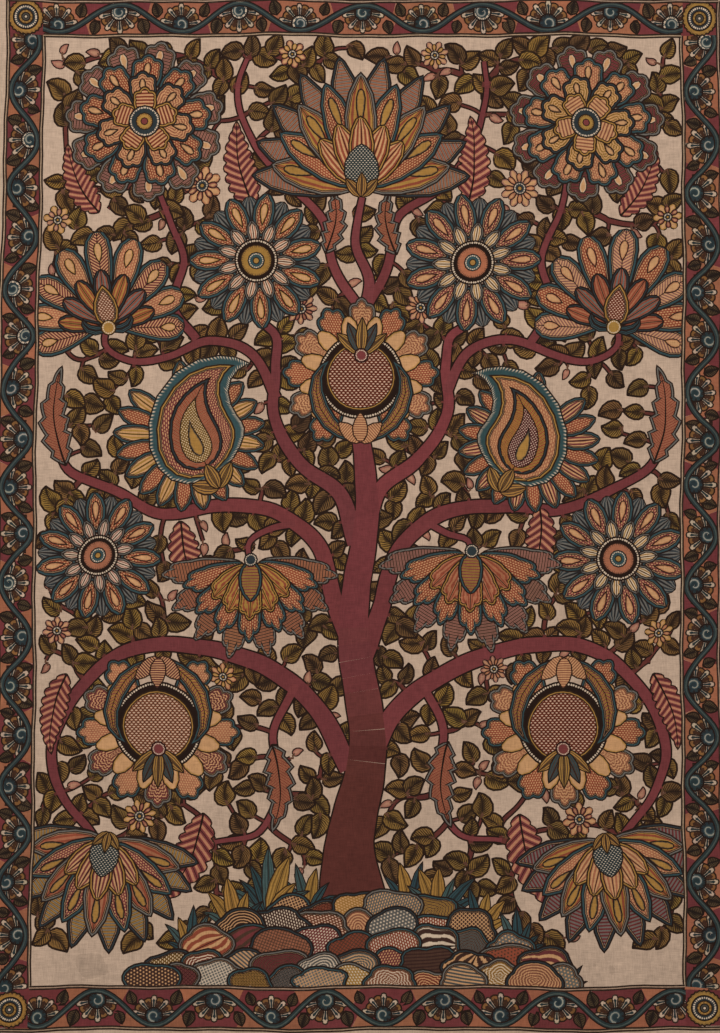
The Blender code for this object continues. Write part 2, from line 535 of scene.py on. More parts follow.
def grow_twigs(seeds, headings, aims):
    """Grows joints from the seeds until each aim has one within reach.

    Returns the joints, each one's parent or -1, and each aim's own joint.
    """
    joints = seeds.copy()
    headings = headings.copy()
    parents = np.full(len(seeds), -1)
    holder = np.full(len(aims), -1)
    gaps = np.linalg.norm(aims[:, None] - joints[None], axis=2)
    nearest = gaps.argmin(axis=1)
    distance = gaps.min(axis=1)
    for _ in range(TWIG_ROUNDS):
        reached = (holder < 0) & (distance < TWIG_REACH)
        holder[reached] = nearest[reached]
        waiting = np.flatnonzero(holder < 0)
        if len(waiting) == 0:
            break
        pulled, group = np.unique(nearest[waiting], return_inverse=True)
        away = aims[waiting] - joints[nearest[waiting]]
        pull = np.zeros((len(pulled), 2))
        np.add.at(pull, group, away / (distance[waiting] ** 2)[:, None])
        pull /= np.linalg.norm(pull, axis=1)[:, None]
        pull += TWIG_MOMENTUM * headings[pulled]
        pull /= np.linalg.norm(pull, axis=1)[:, None]
        fresh = joints[pulled] + TWIG_STEP * pull
        apart = np.linalg.norm(fresh[:, None] - joints[None], axis=2).min(axis=1) > 0.3 * TWIG_STEP
        if not apart.any():
            break
        first_new = len(joints)
        joints = np.vstack([joints, fresh[apart]])
        headings = np.vstack([headings, pull[apart]])
        parents = np.concatenate([parents, pulled[apart]])
        new_gaps = np.linalg.norm(aims[:, None] - fresh[apart][None], axis=2)
        closer = new_gaps.min(axis=1) < distance
        nearest[closer] = first_new + new_gaps.argmin(axis=1)[closer]
        distance = np.minimum(distance, new_gaps.min(axis=1))
    holder = np.where((holder < 0) & (distance < LONGEST_REACH), nearest, holder)
    return joints, parents, holder


def soften_twigs(joints, parents, rounds):
    """Draws each forking joint towards the middle of its parent and its children."""
    own = np.flatnonzero(parents >= 0)
    for _ in range(rounds):
        total = np.zeros_like(joints)
        count = np.zeros(len(joints))
        np.add.at(total, parents[own], joints[own])
        np.add.at(count, parents[own], 1)
        forked = own[count[own] > 0]
        children = total[forked] / count[forked, None]
        joints[forked] = 0.5 * joints[forked] + 0.25 * (children + joints[parents[forked]])
    return joints


leaf_middles = scatter_leaves()
bough_points = np.vstack([path[FORKS] for path, _ in boughs])
bough_reach = np.concatenate([half[FORKS] for _, half in boughs]) + 0.004
bough_headings = np.vstack([np.gradient(path, axis=0)[FORKS] for path, _ in boughs])
bough_headings /= np.linalg.norm(bough_headings, axis=1)[:, None]
stem_ends = [base for base, *_ in long_leaves] + [centre for centre, _ in small_rosettes]
aims = np.vstack([leaf_middles, stem_ends])
joints, parents, holder = grow_twigs(bough_points, 0.6 * bough_headings, aims)
joints = soften_twigs(joints, parents, 3)
loads = np.zeros(len(joints))
np.add.at(loads, holder[holder >= 0], 1.0)
for joint in range(len(joints) - 1, len(bough_points) - 1, -1):
    loads[parents[joint]] += loads[joint]
twig_widths = np.minimum(TWIG_TIP * np.maximum(loads, 1) ** TWIG_GAIN, TWIG_LIMIT)


def twig_paths():
    """Each twig as one run of joints: from where it leaves its parent, along its heaviest child.

    Each also has the point where it has left a bough's edge behind, for the open fork.
    """
    main_child = {}
    for joint in range(len(bough_points), len(joints)):
        parent = parents[joint]
        if parent >= len(bough_points) and loads[joint] > 0:
            if parent not in main_child or loads[joint] > loads[main_child[parent]]:
                main_child[parent] = joint
    carried = set(main_child.values())
    paths = []
    for joint in range(len(bough_points), len(joints)):
        if joint in carried or loads[joint] == 0:
            continue
        run = [parents[joint], joint]
        while run[-1] in main_child:
            run.append(main_child[run[-1]])
        path = joints[run]
        widths = twig_widths[run]
        widths[0] = widths[1]
        half = np.convolve(np.pad(widths, 1, mode="edge"), [0.25, 0.5, 0.25], "valid") / 2
        out = None
        if run[0] < len(bough_points):
            out = point_at(path[0], np.arctan2(*(path[1] - path[0])[::-1]), bough_reach[run[0]])
        paths.append((path, half, out))
    return paths


def petal(base, heading, length, width, shape_look, bend=0.0, root=0.6, tip=0.8, steps=7):
    """A leaf or petal: a spine that bends towards its tip, with a rounded base and tip.

    Its width grows as the share of its length to the power root, and shrinks as what is left of it
    to the power tip, so a small tip is round and a large one is pointed.
    """
    spine, share = bent_spine(base, heading, length, bend, steps)
    peak = root / (root + tip)
    half = width / 2 * (share / peak) ** root * ((1 - share) / (1 - peak)) ** tip
    blade(spine, half, half, shape_look)
    return spine


def stroke(path, half, dye):
    """A brush stroke: a band along a path in one flat dye, half its width on each side."""
    run, aside = along_and_aside(path)
    half = np.broadcast_to(half, len(path))
    left = path + aside * half[:, None]
    right = path - aside * half[:, None]
    deep = np.full(len(path), DEEP_INSIDE)
    at_left = np.stack([run, MM * half, deep], axis=1)
    at_right = np.stack([run, -MM * half, deep], axis=1)
    lay_down(np.concatenate(cells_between(right, left)), np.concatenate(cells_between(at_right, at_left)),
             look(dye, outline=0))


def leaf_look():
    """One leaf's dyes: olive, ochre or brown, hatched with iron black from its midrib."""
    weights = hand.dirichlet([1.5, 1.0, 1.4])
    dye = weights[0] * seen(150, 115, 52) + weights[1] * seen(132, 92, 54) + weights[2] * seen(88, 63, 42)
    return look(dye, "hatch", period=hand.uniform(3.0, 3.8), mark=seen(38, 25, 18), outline=2.1)


def draw_small_leaves():
    """Leaves with a curled tip and a stalk, each leaning away from its twig, with some pink buds."""
    for middle, joint in zip(leaf_middles, holder[: len(leaf_middles)]):
        if joint < 0:
            continue
        foot = joints[joint]
        away = middle - foot
        heading = np.arctan2(away[1], away[0]) + hand.normal(0, 0.22)
        bud = hand.random() < 0.07
        length = hand.uniform(0.020, 0.025) if bud else hand.uniform(0.034, 0.043)
        width = length * (0.62 if bud else hand.uniform(0.72, 0.86))
        bend = hand.choice([-1, 1]) * hand.uniform(0.5, 1.1)
        base = point_at(middle, heading, -length / 2)
        bud_dye = seen(150, 96, 80) * hand.uniform(0.75, 1.05)
        dress = look(bud_dye, "glow", 5, mark=seen(170, 122, 96), outline=1.3) if bud else leaf_look()
        petal(base, heading, length, width, dress, bend=bend, root=0.5, tip=0.88, steps=8)
        into = point_at(base, heading, 0.22 * length)
        stalk = np.stack([foot, (foot + base) / 2 + hand.normal(0, 0.001, 2), base, into])
        stroke(stalk, np.array([0.0019, 0.0017, 0.0015, 0.0008]), seen(94, 62, 46))


# The tree's wood. Trunk, boughs and twigs are edged with one unbroken pen line and then filled with
# madder, browner at the foot, so forks are open: all edges are drawn first and the fills over them.
# The small leaves lie over the twigs and under the boughs.
PEN = 0.0025
BOUGH_DYE = seen(112, 54, 54)
TWIG_DYE = seen(92, 46, 40)
TRUNK_DYE = seen(84, 43, 36)


def draw_wood():
    """Edges in iron black, then fills: of the twigs first, and of the boughs over the leaves."""
    twigs = twig_paths()
    for path, half, _ in twigs:
        stroke(path, half + PEN * 0.9, INK)
    for path, half, _ in twigs:
        stroke(path, half, TWIG_DYE)
    draw_small_leaves()
    for path, half in boughs:
        stroke(path, half + PEN, INK)
    stroke(trunk, trunk_half + PEN, INK)
    for path, half, out in twigs:
        if out is not None:
            stroke(np.stack([path[0], out]), half[:2], TWIG_DYE)
    for path, half in boughs:
        stroke(path, half, BOUGH_DYE)
    stroke(trunk, trunk_half, BOUGH_DYE)
    for age in np.linspace(0.1, 1, 10):  # browner dye, step by step towards the foot
        lower = round((0.66 - 0.33 * age) * len(trunk))
        stroke(trunk[:lower], trunk_half[:lower], age * TRUNK_DYE + (1 - age) * BOUGH_DYE)


draw_wood()

# Blades of grass and young shoots on the mound, on both sides of the trunk, in teal and ochre.
TUFTS = (
    # x, blades, height
    (0.082, 6, 0.085),
    (0.125, 7, 0.100),
    (0.180, 6, 0.088),
    (0.238, 7, 0.076),
    (0.300, 5, 0.056),
)


def draw_tufts():
    """Each tuft is a spread of bent blades from one foot, the middle ones the tallest."""
    for side in (1, -1):
        for x, blades, height in TUFTS:
            foot = hand_placed(side, x, mound_top(np.array(x)) - 0.012)
            for place in np.linspace(-1, 1, blades):
                dye = (TEAL, OCHRE, seen(70, 88, 84))[hand.integers(3)]
                tall = height * (1 - 0.30 * abs(place)) * hand.uniform(0.85, 1.15)
                petal(foot, pi / 2 - 0.75 * place, tall, 0.30 * tall if dye is OCHRE else 0.22 * tall,
                      look(dye, "stripes", mark=dye * 0.55, outline=1.1), bend=-0.7 * place, root=0.8,
                      tip=0.9, steps=6)


draw_tufts()

# Long leaves with cut edges, and small open flowers, at the ends of twigs. A feather leaf has round
# lobes striped in madder and salmon, and a lobed leaf has hooked points edged in teal.
MOUND_DYES = (MADDER, SALMON, OCHRE, SLATE, BRICK, seen(66, 42, 34))


def draw_long_leaf(base, heading, bend, length, width, kind):
    """A long blade whose outline is cut into lobes, or hooks that lean towards its tip."""
    lobes = 9 if kind == "feather" else 6
    per_lobe = 4
    steps = lobes * per_lobe
    share = np.linspace(0, 1, steps + 1)
    middle = (share[1:] + share[:-1]) / 2
    turn = heading + bend * middle**1.3
    moves = length / steps * unit_steps(turn)
    spine = base + np.concatenate([[[0, 0]], np.cumsum(moves, axis=0)])
    body = np.sin(pi * share**0.8) ** 0.75 * (1 - 0.25 * share)
    phase = (np.arange(steps + 1) % per_lobe) / per_lobe
    if kind == "feather":
        cut = 0.80 + 0.20 * np.sin(pi * phase) ** 0.6
        dress = look(MADDER, "barbs", period=length * MM / lobes / 1.35, mark=seen(176, 118, 88), outline=1.4)
    else:
        cut = 0.62 + 0.38 * phase
        dress = look(SALMON, "barbs", 4.2, mark=seen(120, 56, 44), rim=SLATE, rim_width=2.2, outline=1.4)
    half = width / 2 * body * cut
    blade(spine, half, half, dress)
    stroke(spine[: int(0.9 * steps)], np.linspace(0.0016, 0.0006, int(0.9 * steps)), INK)


def full_turn(steps):
    """Angles in even steps once round a circle."""
    return 2 * pi * np.arange(steps) / steps


def spot(x, y, radius, shape_look, steps=14):
    """A round spot."""
    fan((x, y), np.array([x, y]) + radius * unit_steps(full_turn(steps)), shape_look)


def outer_first(furthest):
    """Places one apart to both sides of a middle, from the furthest in to the middle one, if any."""
    pairs = [(-place, place) for place in np.arange(furthest, 0, -1).tolist()]
    return [place for pair in pairs for place in pair] + [0] * (furthest % 1 == 0)


def petal_angles(first, count, shift=0):
    """The directions of count petals in a ring, turned on from the first by a share of their spacing."""
    return first + (np.arange(count) + shift) * 2 * pi / count


def draw_small_rosette(centre, radius, dye, second):
    """Six or seven round petals in two rows round a beaded heart."""
    count = hand.integers(6, 9)
    first = hand.uniform(0, 2 * pi)
    for row, (reach, fill) in enumerate(((1.0, dye), (0.72, second))):
        for angle in petal_angles(first, count, 0.5 * row):
            petal(point_at(centre, angle, 0.20 * radius), angle, 0.80 * radius * reach,
                  3.6 * radius * reach / count, look(fill, "glow", 4, outline=1.2), root=0.8, tip=0.45,
                  steps=6)
    spot(*centre, 0.34 * radius, look(DEEP_TEAL, "beads", 2.4, mark=BONE, outline=1.0))
    spot(*centre, 0.13 * radius, look(OCHRE, outline=0.8), steps=8)


for long_leaf in long_leaves:
    draw_long_leaf(*long_leaf)
for centre, radius in small_rosettes:
    draw_small_rosette(centre, radius, *hand.permutation([SALMON, OCHRE, MADDER, DUSK_PINK])[:2])


# The large flowers. Each kind is built up from the back: outer petals first, then inner ones, then
# the heart. A petal has a band of teal or slate inside its pen line, a pale line, and a filling of
# dashes, scales, stripes or a soft glow.
RUFFLES = 7
RUFFLE_DEPTH = 0.16
RUFFLE_STEPS = 36


def ruffled(centre, heading, length, width, shape_look):
    """A petal with a scalloped outer end: an egg, its outline swelling as half waves near its tip."""
    angle = 2 * pi * (np.arange(RUFFLE_STEPS) + 0.5) / RUFFLE_STEPS - pi
    outer = np.clip(np.cos(angle) + 0.35, 0, 1)
    swell = 1 + RUFFLE_DEPTH * (np.abs(np.cos(RUFFLES * angle / 2)) - 0.5) * outer
    along = 0.5 * length * np.cos(angle) * swell
    across = 0.5 * width * np.sin(angle) * swell * (0.80 + 0.20 * np.cos(angle))
    ahead, aside = ahead_and_aside(heading)
    fan(centre, centre + along[:, None] * ahead + across[:, None] * aside, shape_look, grain=heading)


def draw_rosette(centre, radius, heading, dyes):
    """An open flower from above: a dark fringe, two rows of petals with drops, and ringed hearts."""
    first, second, third = dyes
    count = 11
    for angle in petal_angles(heading, count, 0.5):
        petal(point_at(centre, angle, 0.46 * radius), angle, 0.50 * radius, 0.36 * radius,
              look(DEEP_TEAL, "stripes", 3.4, mark=SLATE, outline=1.2), root=0.5, tip=0.6)
    for angle in petal_angles(heading, count):
        petal(point_at(centre, angle, 0.34 * radius), angle, 0.67 * radius, 0.35 * radius,
              look(first, "dashes", 4.6, rim_width=3.0, pale=1.2), root=0.65, tip=0.55)
        petal(point_at(centre, angle, 0.50 * radius), angle, 0.36 * radius, 0.13 * radius,
              look(second, "glow", 3.2, outline=1.2), root=1.1, tip=0.5, steps=6)
    for angle in petal_angles(heading, count, 0.5):
        petal(point_at(centre, angle, 0.22 * radius), angle, 0.38 * radius, 0.21 * radius,
              look(third, "stripes", 3.0, mark=BONE, rim=SLATE, rim_width=1.6, outline=1.2), root=0.8,
              tip=0.7, steps=6)
    spot(*centre, 0.33 * radius, look(INK, "beads", 3.8, mark=BONE, outline=1.2), steps=22)
    spot(*centre, 0.24 * radius, look(second, "teeth", 2.6, mark=UMBER, outline=1.2), steps=18)
    spot(*centre, 0.13 * radius, look(TEAL, "beads", 2.6, mark=BONE, outline=1.0), steps=12)
    spot(*centre, 0.055 * radius, look(OCHRE, outline=1.0), steps=8)


def draw_lotus(centre, radius, heading, dyes):
    """A flower from the side: pointed petals fanned from one foot, and a scaled cup in front."""
    first, second, third = dyes
    foot = point_at(centre, heading, -0.72 * radius)
    for place in [-4.4, 4.4] + outer_first(3.5):
        petal(foot, heading + 0.33 * place, radius * (1.70 - 0.055 * abs(place) ** 1.2), 0.42 * radius,
              look(third, "ribs", 5.0, mark=SLATE, rim=DEEP_TEAL, rim_width=2.4, pale=1.2), root=1.0,
              tip=0.75)
    for place in outer_first(4):
        length = radius * (1.46 - 0.075 * abs(place))
        dress = (look(first, "dashes", 4.6, rim_width=2.8, pale=1.3) if place % 2
                 else look(second, "stripes", 4, mark=BRICK, rim=SLATE, rim_width=2.4, pale=1.2))
        petal(foot, heading + 0.33 * place, length, 0.44 * radius, dress, root=0.9, tip=0.75)
        petal(point_at(foot, heading + 0.33 * place, 0.52 * length), heading + 0.33 * place, 0.34 * length,
              0.13 * radius, look(DEEP_TEAL, "glow", 3, mark=OCHRE, outline=1.2), root=1.0, tip=0.5, steps=6)
    for place in outer_first(2):
        petal(foot, heading + 0.36 * place, radius * (0.92 - 0.06 * abs(place)), 0.34 * radius,
              look(first, "stripes", 5, rim=OCHRE, rim_width=2.2), root=0.8, tip=0.6)
    petal(point_at(foot, heading, -0.05 * radius), heading, 0.62 * radius, 0.46 * radius,
          look(TEAL, "scales", 5.2, mark=BONE, outline=1.4), root=0.6, tip=0.7)
    for place in outer_first(1):
        petal(point_at(foot, heading, -0.10 * radius), heading + 0.7 * place, 0.32 * radius, 0.15 * radius,
              look(OCHRE, "stripes", 3, mark=UMBER, outline=1.2), root=0.7, tip=0.9, steps=6)


def draw_pomegranate(centre, radius, heading, dyes):
    """A scaled fruit in a ruff of round petals, held by two curved leaves under a small crown."""
    first, second, third = dyes
    for place in outer_first(5):
        angle = heading + 0.50 * place
        ruffled(point_at(centre, angle, 0.70 * radius), angle, 0.62 * radius, 0.46 * radius,
                look(first if place % 2 else third, "dashes" if place % 2 else "contours", 4.4,
                     rim=TEAL if place % 2 else SLATE, rim_width=2.4, pale=1.0, outline=1.4))
    for place in outer_first(4.5):
        angle = heading + 0.50 * place
        petal(point_at(centre, angle, 0.38 * radius), angle, 0.44 * radius, 0.24 * radius,
              look(second, "glow", 4, outline=1.3), root=0.7, tip=0.6, steps=6)
    ring = unit_steps(heading + full_turn(28))
    fan(centre, centre + 0.56 * radius * ring, look(INK, "beads", 4.2, mark=BONE, outline=1.3))
    fan(centre, centre + 0.45 * radius * ring,
        look(first, "scales", 6.4, mark=BONE, rim=OCHRE, rim_width=1.8), grain=heading)
    foot = point_at(centre, heading, -0.86 * radius)
    for side in (1, -1):
        petal(foot, heading + 1.12 * side, 1.42 * radius, 0.24 * radius,
              look(second, "barbs", 5, mark=MADDER, rim_width=2.2, pale=1.0), bend=-2.1 * side,
              root=0.7, tip=0.8, steps=10)
    for place in outer_first(2):
        petal(point_at(centre, heading, 0.28 * radius), heading + 0.42 * place,
              radius * (0.50 - 0.03 * abs(place)), 0.17 * radius,
              look(TEAL if place % 2 else OCHRE, "stripes", 3, mark=UMBER, outline=1.2), root=0.8, tip=0.9,
              steps=6)
    spot(*point_at(centre, heading, 0.28 * radius), 0.10 * radius, look(MADDER, "beads", 2.4, mark=BONE),
         steps=10)
    for place in outer_first(1):
        petal(foot, heading + 0.8 * place, 0.40 * radius, 0.22 * radius,
              look(third, "ribs", 3.4, outline=1.3), root=0.6, tip=0.8, steps=6)


def draw_peony(centre, radius, heading, dyes):
    """A full flower: rings of ruffled petals, each ring smaller and of another filling."""
    first, second, third = dyes
    rings = (
        (11, 0.72, 0.56, look(third, "ribs", 4.6, mark=UMBER, rim=SLATE, rim_width=2.6, pale=1.0)),
        (9, 0.56, 0.54, look(first, "dashes", 4.6, rim_width=2.8, pale=1.2)),
        (7, 0.38, 0.48, look(second, "contours", 4.0, rim=DEEP_TEAL, rim_width=2.2)),
        (5, 0.22, 0.40, look(first, "ribs", 5.0, rim=OCHRE, rim_width=2.0)),
    )
    for row, (count, distance, size, dress) in enumerate(rings):
        for angle in petal_angles(heading + 0.3 * row, count):
            middle = point_at(centre, angle, distance * radius)
            ruffled(middle, angle, size * radius, size * radius * 0.95, dress)
            if row < 3:
                petal(point_at(middle, angle, -0.10 * size * radius), angle, 0.42 * size * radius,
                      0.20 * size * radius, look(UMBER if row else BONE, "glow", 3, outline=1.1),
                      root=1.0, tip=0.5, steps=6)
    spot(*centre, 0.20 * radius, look(DEEP_TEAL, "beads", 3.4, mark=BONE, outline=1.2), steps=16)
    spot(*centre, 0.11 * radius, look(OCHRE, "teeth", 2.2, mark=UMBER, outline=1.0), steps=12)
    spot(*centre, 0.05 * radius, look(MADDER, outline=0.9), steps=8)


def draw_palmette(centre, radius, heading, dyes):
    """A fan of round lobes on a shared foot, a smaller fan in it, and a pointed heart."""
    first, second, third = dyes
    foot = point_at(centre, heading, -0.62 * radius)
    for place in outer_first(4):
        angle = heading + 0.42 * place
        length = radius * (1.62 - 0.085 * abs(place))
        petal(foot, angle, length, 0.50 * radius,
              look(first if place % 2 else third, "dashes" if place % 2 else "barbs", 4.8,
                   rim_width=3.0, pale=1.2), root=1.3, tip=0.42, steps=10)
        petal(point_at(foot, angle, 0.66 * length), angle, 0.22 * length, 0.16 * radius,
              look(second, "glow", 3, outline=1.2), root=0.9, tip=0.5, steps=6)
    for place in outer_first(3):
        petal(foot, heading + 0.44 * place, radius * (0.98 - 0.05 * abs(place)), 0.32 * radius,
              look(second if place % 2 else SLATE, "stripes", 3, mark=BRICK, rim=DEEP_TEAL, rim_width=1.8),
              root=1.1, tip=0.5, steps=8)
    petal(foot, heading, 0.72 * radius, 0.44 * radius,
          look(first, "scales", 5.0, mark=BONE, rim=OCHRE, rim_width=2.2, pale=1.0), root=0.6, tip=0.9)
    for side in (1, -1):
        petal(foot, heading + 1.9 * side, 0.55 * radius, 0.17 * radius,
              look(TEAL, "stripes", 3, mark=INK, outline=1.2), bend=-2.2 * side, root=0.7, tip=0.8)
    spot(*foot, 0.13 * radius, look(OCHRE, "beads", 2.6, mark=BONE, outline=1.2), steps=12)


def draw_boteh(centre, radius, heading, dyes):
    """A drop with a curled tip, in a fringe of petals, its inside drawn again and again, smaller."""
    first, second, third = dyes
    side = 1 if cos(heading) > 0 else -1
    foot = point_at(centre, heading, -0.70 * radius)
    layers = (
        (1.00, 1.20, look(TEAL, "teeth", 3.4, mark=BONE, outline=1.5)),
        (0.86, 0.98, look(first, "dashes", 4.6, rim=OCHRE, rim_width=2.2, pale=1.0)),
        (0.66, 0.66, look(second, "barbs", 4.6, mark=BRICK, rim=DEEP_TEAL, rim_width=2.2)),
        (0.46, 0.38, look(third, "scales", 4.4, mark=BONE, outline=1.2)),
        (0.26, 0.16, look(DEEP_TEAL, "glow", 3, mark=OCHRE, outline=1.0)),
    )
    for number, angle in enumerate(np.linspace(-2.75, 2.75, 19)):
        petal(point_at(point_at(centre, heading, -0.10 * radius), heading + angle + pi, 0.34 * radius),
              heading + angle + pi, 0.60 * radius, 0.27 * radius,
              look(BRICK if number % 2 else third, "dashes" if number % 2 else "stripes", 4.4,
                   rim_width=2.2, pale=0.9, outline=1.3), root=0.7, tip=0.6)
    for size, width, dress in layers:
        start = point_at(foot, heading, (1 - size) * 0.42 * radius)
        petal(start, heading, 1.9 * radius * size, width * radius, dress, bend=2.3 * side * size, root=0.55,
              tip=1.35, steps=14)
    for place in outer_first(1):
        petal(point_at(foot, heading, -0.16 * radius), heading + 0.9 * place, 0.36 * radius, 0.2 * radius,
              look(OCHRE, "stripes", 3, mark=UMBER, outline=1.2), root=0.7, tip=0.8, steps=6)


def draw_carnation(centre, radius, heading, dyes):
    """A fan of notched petals in three rows above a ribbed cup."""
    first, second, third = dyes
    foot = point_at(centre, heading, -0.66 * radius)
    rows_of_petals = (
        (outer_first(3.5), 1.62, look(third, "ribs", 4.4, mark=UMBER, rim=SLATE,
                                                                  rim_width=2.2)),
        (outer_first(3), 1.32, look(first, "dashes", 4.6, rim_width=2.8, pale=1.2)),
        (outer_first(2), 0.96, look(second, "stripes", 3, mark=BRICK, rim=OCHRE, rim_width=1.8)),
    )
    for places, length, dress in rows_of_petals:
        for place in places:
            reach = radius * (length - 0.05 * abs(place))
            angle = heading + 0.40 * place
            ruffled(point_at(foot, angle, 0.56 * reach), angle, 0.90 * reach, 0.50 * radius, dress)
    petal(foot, heading, 0.70 * radius, 0.42 * radius, look(OCHRE, "ribs", 4.2, mark=MADDER,
                                                            rim_width=2.2), root=0.5, tip=0.6)
    spot(*foot, 0.12 * radius, look(DEEP_TEAL, "beads", 2.4, mark=BONE, outline=1.1), steps=10)


DYE_SETS = (
    (BRICK, OCHRE, SALMON),
    (SALMON, OCHRE, MADDER),
    (MADDER, SALMON, OCHRE),
    (BRICK, SALMON, DUSK_PINK),
)
FLOWER_KINDS = {
    "rosette": draw_rosette, "lotus": draw_lotus, "pomegranate": draw_pomegranate, "peony": draw_peony,
    "palmette": draw_palmette, "boteh": draw_boteh, "carnation": draw_carnation,
}
for number, (kind, centre, radius, heading, side) in enumerate(flowers):
    FLOWER_KINDS[kind](centre, radius, heading, DYE_SETS[(number + (side < 0)) % len(DYE_SETS)])

# The mound under the tree: lobed rocks heaped in rows, each row in front of the one above it, in all
# the dyes and fillings of the flowers.
ROCK_ROWS = (
    # y of the row's middles, rocks, half of the row's spread, rock width, rock height
    (-0.596, 5, 0.105, 0.066, 0.054),
    (-0.622, 7, 0.170, 0.070, 0.056),
    (-0.650, 9, 0.225, 0.068, 0.056),
    (-0.676, 11, 0.275, 0.066, 0.052),
    (-0.698, 13, 0.310, 0.062, 0.044),
)


def rock_look():
    """A rock's dye and filling, drawn by lot."""
    dye = MOUND_DYES[hand.integers(len(MOUND_DYES))]
    pattern, period = (("dots", 5.4), ("contours", 4.2), ("ribs", 5.0), ("lattice", 6.0), ("scales", 5.6),
                       ("dashes", 5.0), ("stripes", 4.0))[hand.integers(7)]
    mark = (CREAM, UMBER, BONE)[hand.integers(3)]
    rim = (TEAL, SLATE, DEEP_TEAL)[hand.integers(3)]
    return look(dye * hand.uniform(0.75, 1.0), pattern, period, mark=mark, rim=rim, rim_width=2.2,
                pale=0.9 * hand.integers(2), outline=1.6)


def draw_rock(centre, width, height):
    """A rock with three to five lobes: an oval whose radius rises and falls."""
    angle = full_turn(26)
    lobes = hand.integers(3, 6)
    swell = 1 + 0.20 * np.abs(np.sin(lobes * angle / 2 + hand.uniform(0, pi)))
    x, y = width / 2 * np.cos(angle) * swell, height / 2 * np.sin(angle) * swell
    outline = centre + np.stack([x, y], axis=1)
    fan(centre, outline, rock_look(), grain=hand.uniform(0, pi))


for y, count, spread, width, height in ROCK_ROWS:
    for x in hand.permutation(np.linspace(-spread, spread, count)):
        draw_rock(hand_placed(1, x, y), width * hand.uniform(0.9, 1.35), height * hand.uniform(0.9, 1.25))

# The border. Between two ruled double lines a teal vine swings from side to side, and in each of its
# bays a half rosette opens away from the vine, with a small leaf at each crossing. The bays' grounds
# are madder and salmon by turns. Each corner has a whole rosette.
OUTER_LEFT, OUTER_RIGHT = -0.5415, 0.541
OUTER_BOTTOM, OUTER_TOP = -0.769, 0.774
CORNER_DISC = 0.0285
SIDE_BAYS = 20
BOTTOM_BAYS = 12
TOP_BAYS = 11
STEPS_PER_BAY = 10
BORDER_LEAF = 0.0255
HALF_ROSETTE = 0.0345
VINE_HALF = 0.0030
RULE_HALF = 0.0033
RULE_STEP = 0.020
BAND_MADDER = seen(108, 50, 50)
BAND_SALMON = seen(150, 92, 66)
SHADE = seen(50, 32, 25)
PETAL_WHITE = seen(180, 154, 130)
PETAL_BROWN = seen(124, 84, 48)
DROP_TEAL = seen(40, 48, 48)
DROP_BROWN = seen(64, 40, 28)
HEART_TEAL = seen(40, 50, 52)
CURL_TEAL = seen(54, 66, 67)
CURL_PALE = seen(140, 134, 120)
BORDER_OLIVE = seen(82, 64, 44)
HATCHING = seen(32, 23, 19)
VINE_TEAL = seen(42, 51, 51)
VINE_LIGHT = seen(68, 75, 70)
RULE_PALE = seen(172, 142, 116)
DISC_GREY = seen(70, 66, 58)


def draw_half_rosette(onto_band, middle, toward, size, dark_heart):
    """Notched petals, white and ochre by turns, fanned over a dark shade round a curled heart.

    middle is the heart's place along and across the band, and toward the side that the petals face.
    """
    angles = toward * pi / 2 + np.linspace(-1.42, 1.42, 9) + hand.normal(0, 0.03)
    turn = np.linspace(-1.75, 1.75, 15)
    shade = middle + 0.84 * size * np.stack([np.sin(turn), toward * np.cos(turn)], axis=1)
    fan(onto_band(middle), onto_band(shade), look(SHADE, outline=1.2))
    for number in (1, 3, 5, 7, 0, 8, 2, 6, 4):
        ahead, aside = ahead_and_aside(angles[number])
        white = number % 2 == 0
        reach = size * hand.uniform(0.95, 1.02) * (1 if white else 0.93)
        half = (0.155 if white else 0.21) * size
        along = reach * np.array([0.30, 0.62, 0.84, 0.96, 1.0, 0.96, 0.84, 0.62, 0.30])
        across = half * np.array([-0.55, -0.88, -1.0, -0.68, 0, 0.68, 1.0, 0.88, 0.55])
        outline = middle + along[:, None] * ahead + across[:, None] * aside
        fan(onto_band(middle + 0.66 * reach * ahead), onto_band(outline),
            look(PETAL_WHITE if white else PETAL_BROWN, outline=1.5))
        spine = middle + np.array([0.40, 0.62, 0.74, 0.82])[:, None] * reach * ahead
        bulge = half * np.array([0.22, 0.26, 0.42, 0.0]) * (1 if white else 1.2)
        stroke(onto_band(spine), bulge, DROP_TEAL if white else DROP_BROWN)
    heart = 0.42 * size
    fan(onto_band(middle), onto_band(middle + heart * unit_steps(full_turn(16))),
        look(HEART_TEAL, "beads" if dark_heart else "teeth", 3.6, mark=BONE if dark_heart else INK,
             outline=1.5))
    turn = np.linspace(0, 5.6, 11)
    for wide, dye in ((0.0034, CURL_TEAL), (0.0013, CURL_PALE)):
        curl = middle + (heart * (0.66 - 0.078 * turn))[:, None] * unit_steps(-toward * (pi / 2) + turn)
        stroke(onto_band(curl), wide * np.linspace(1, 0.5, 11), dye)


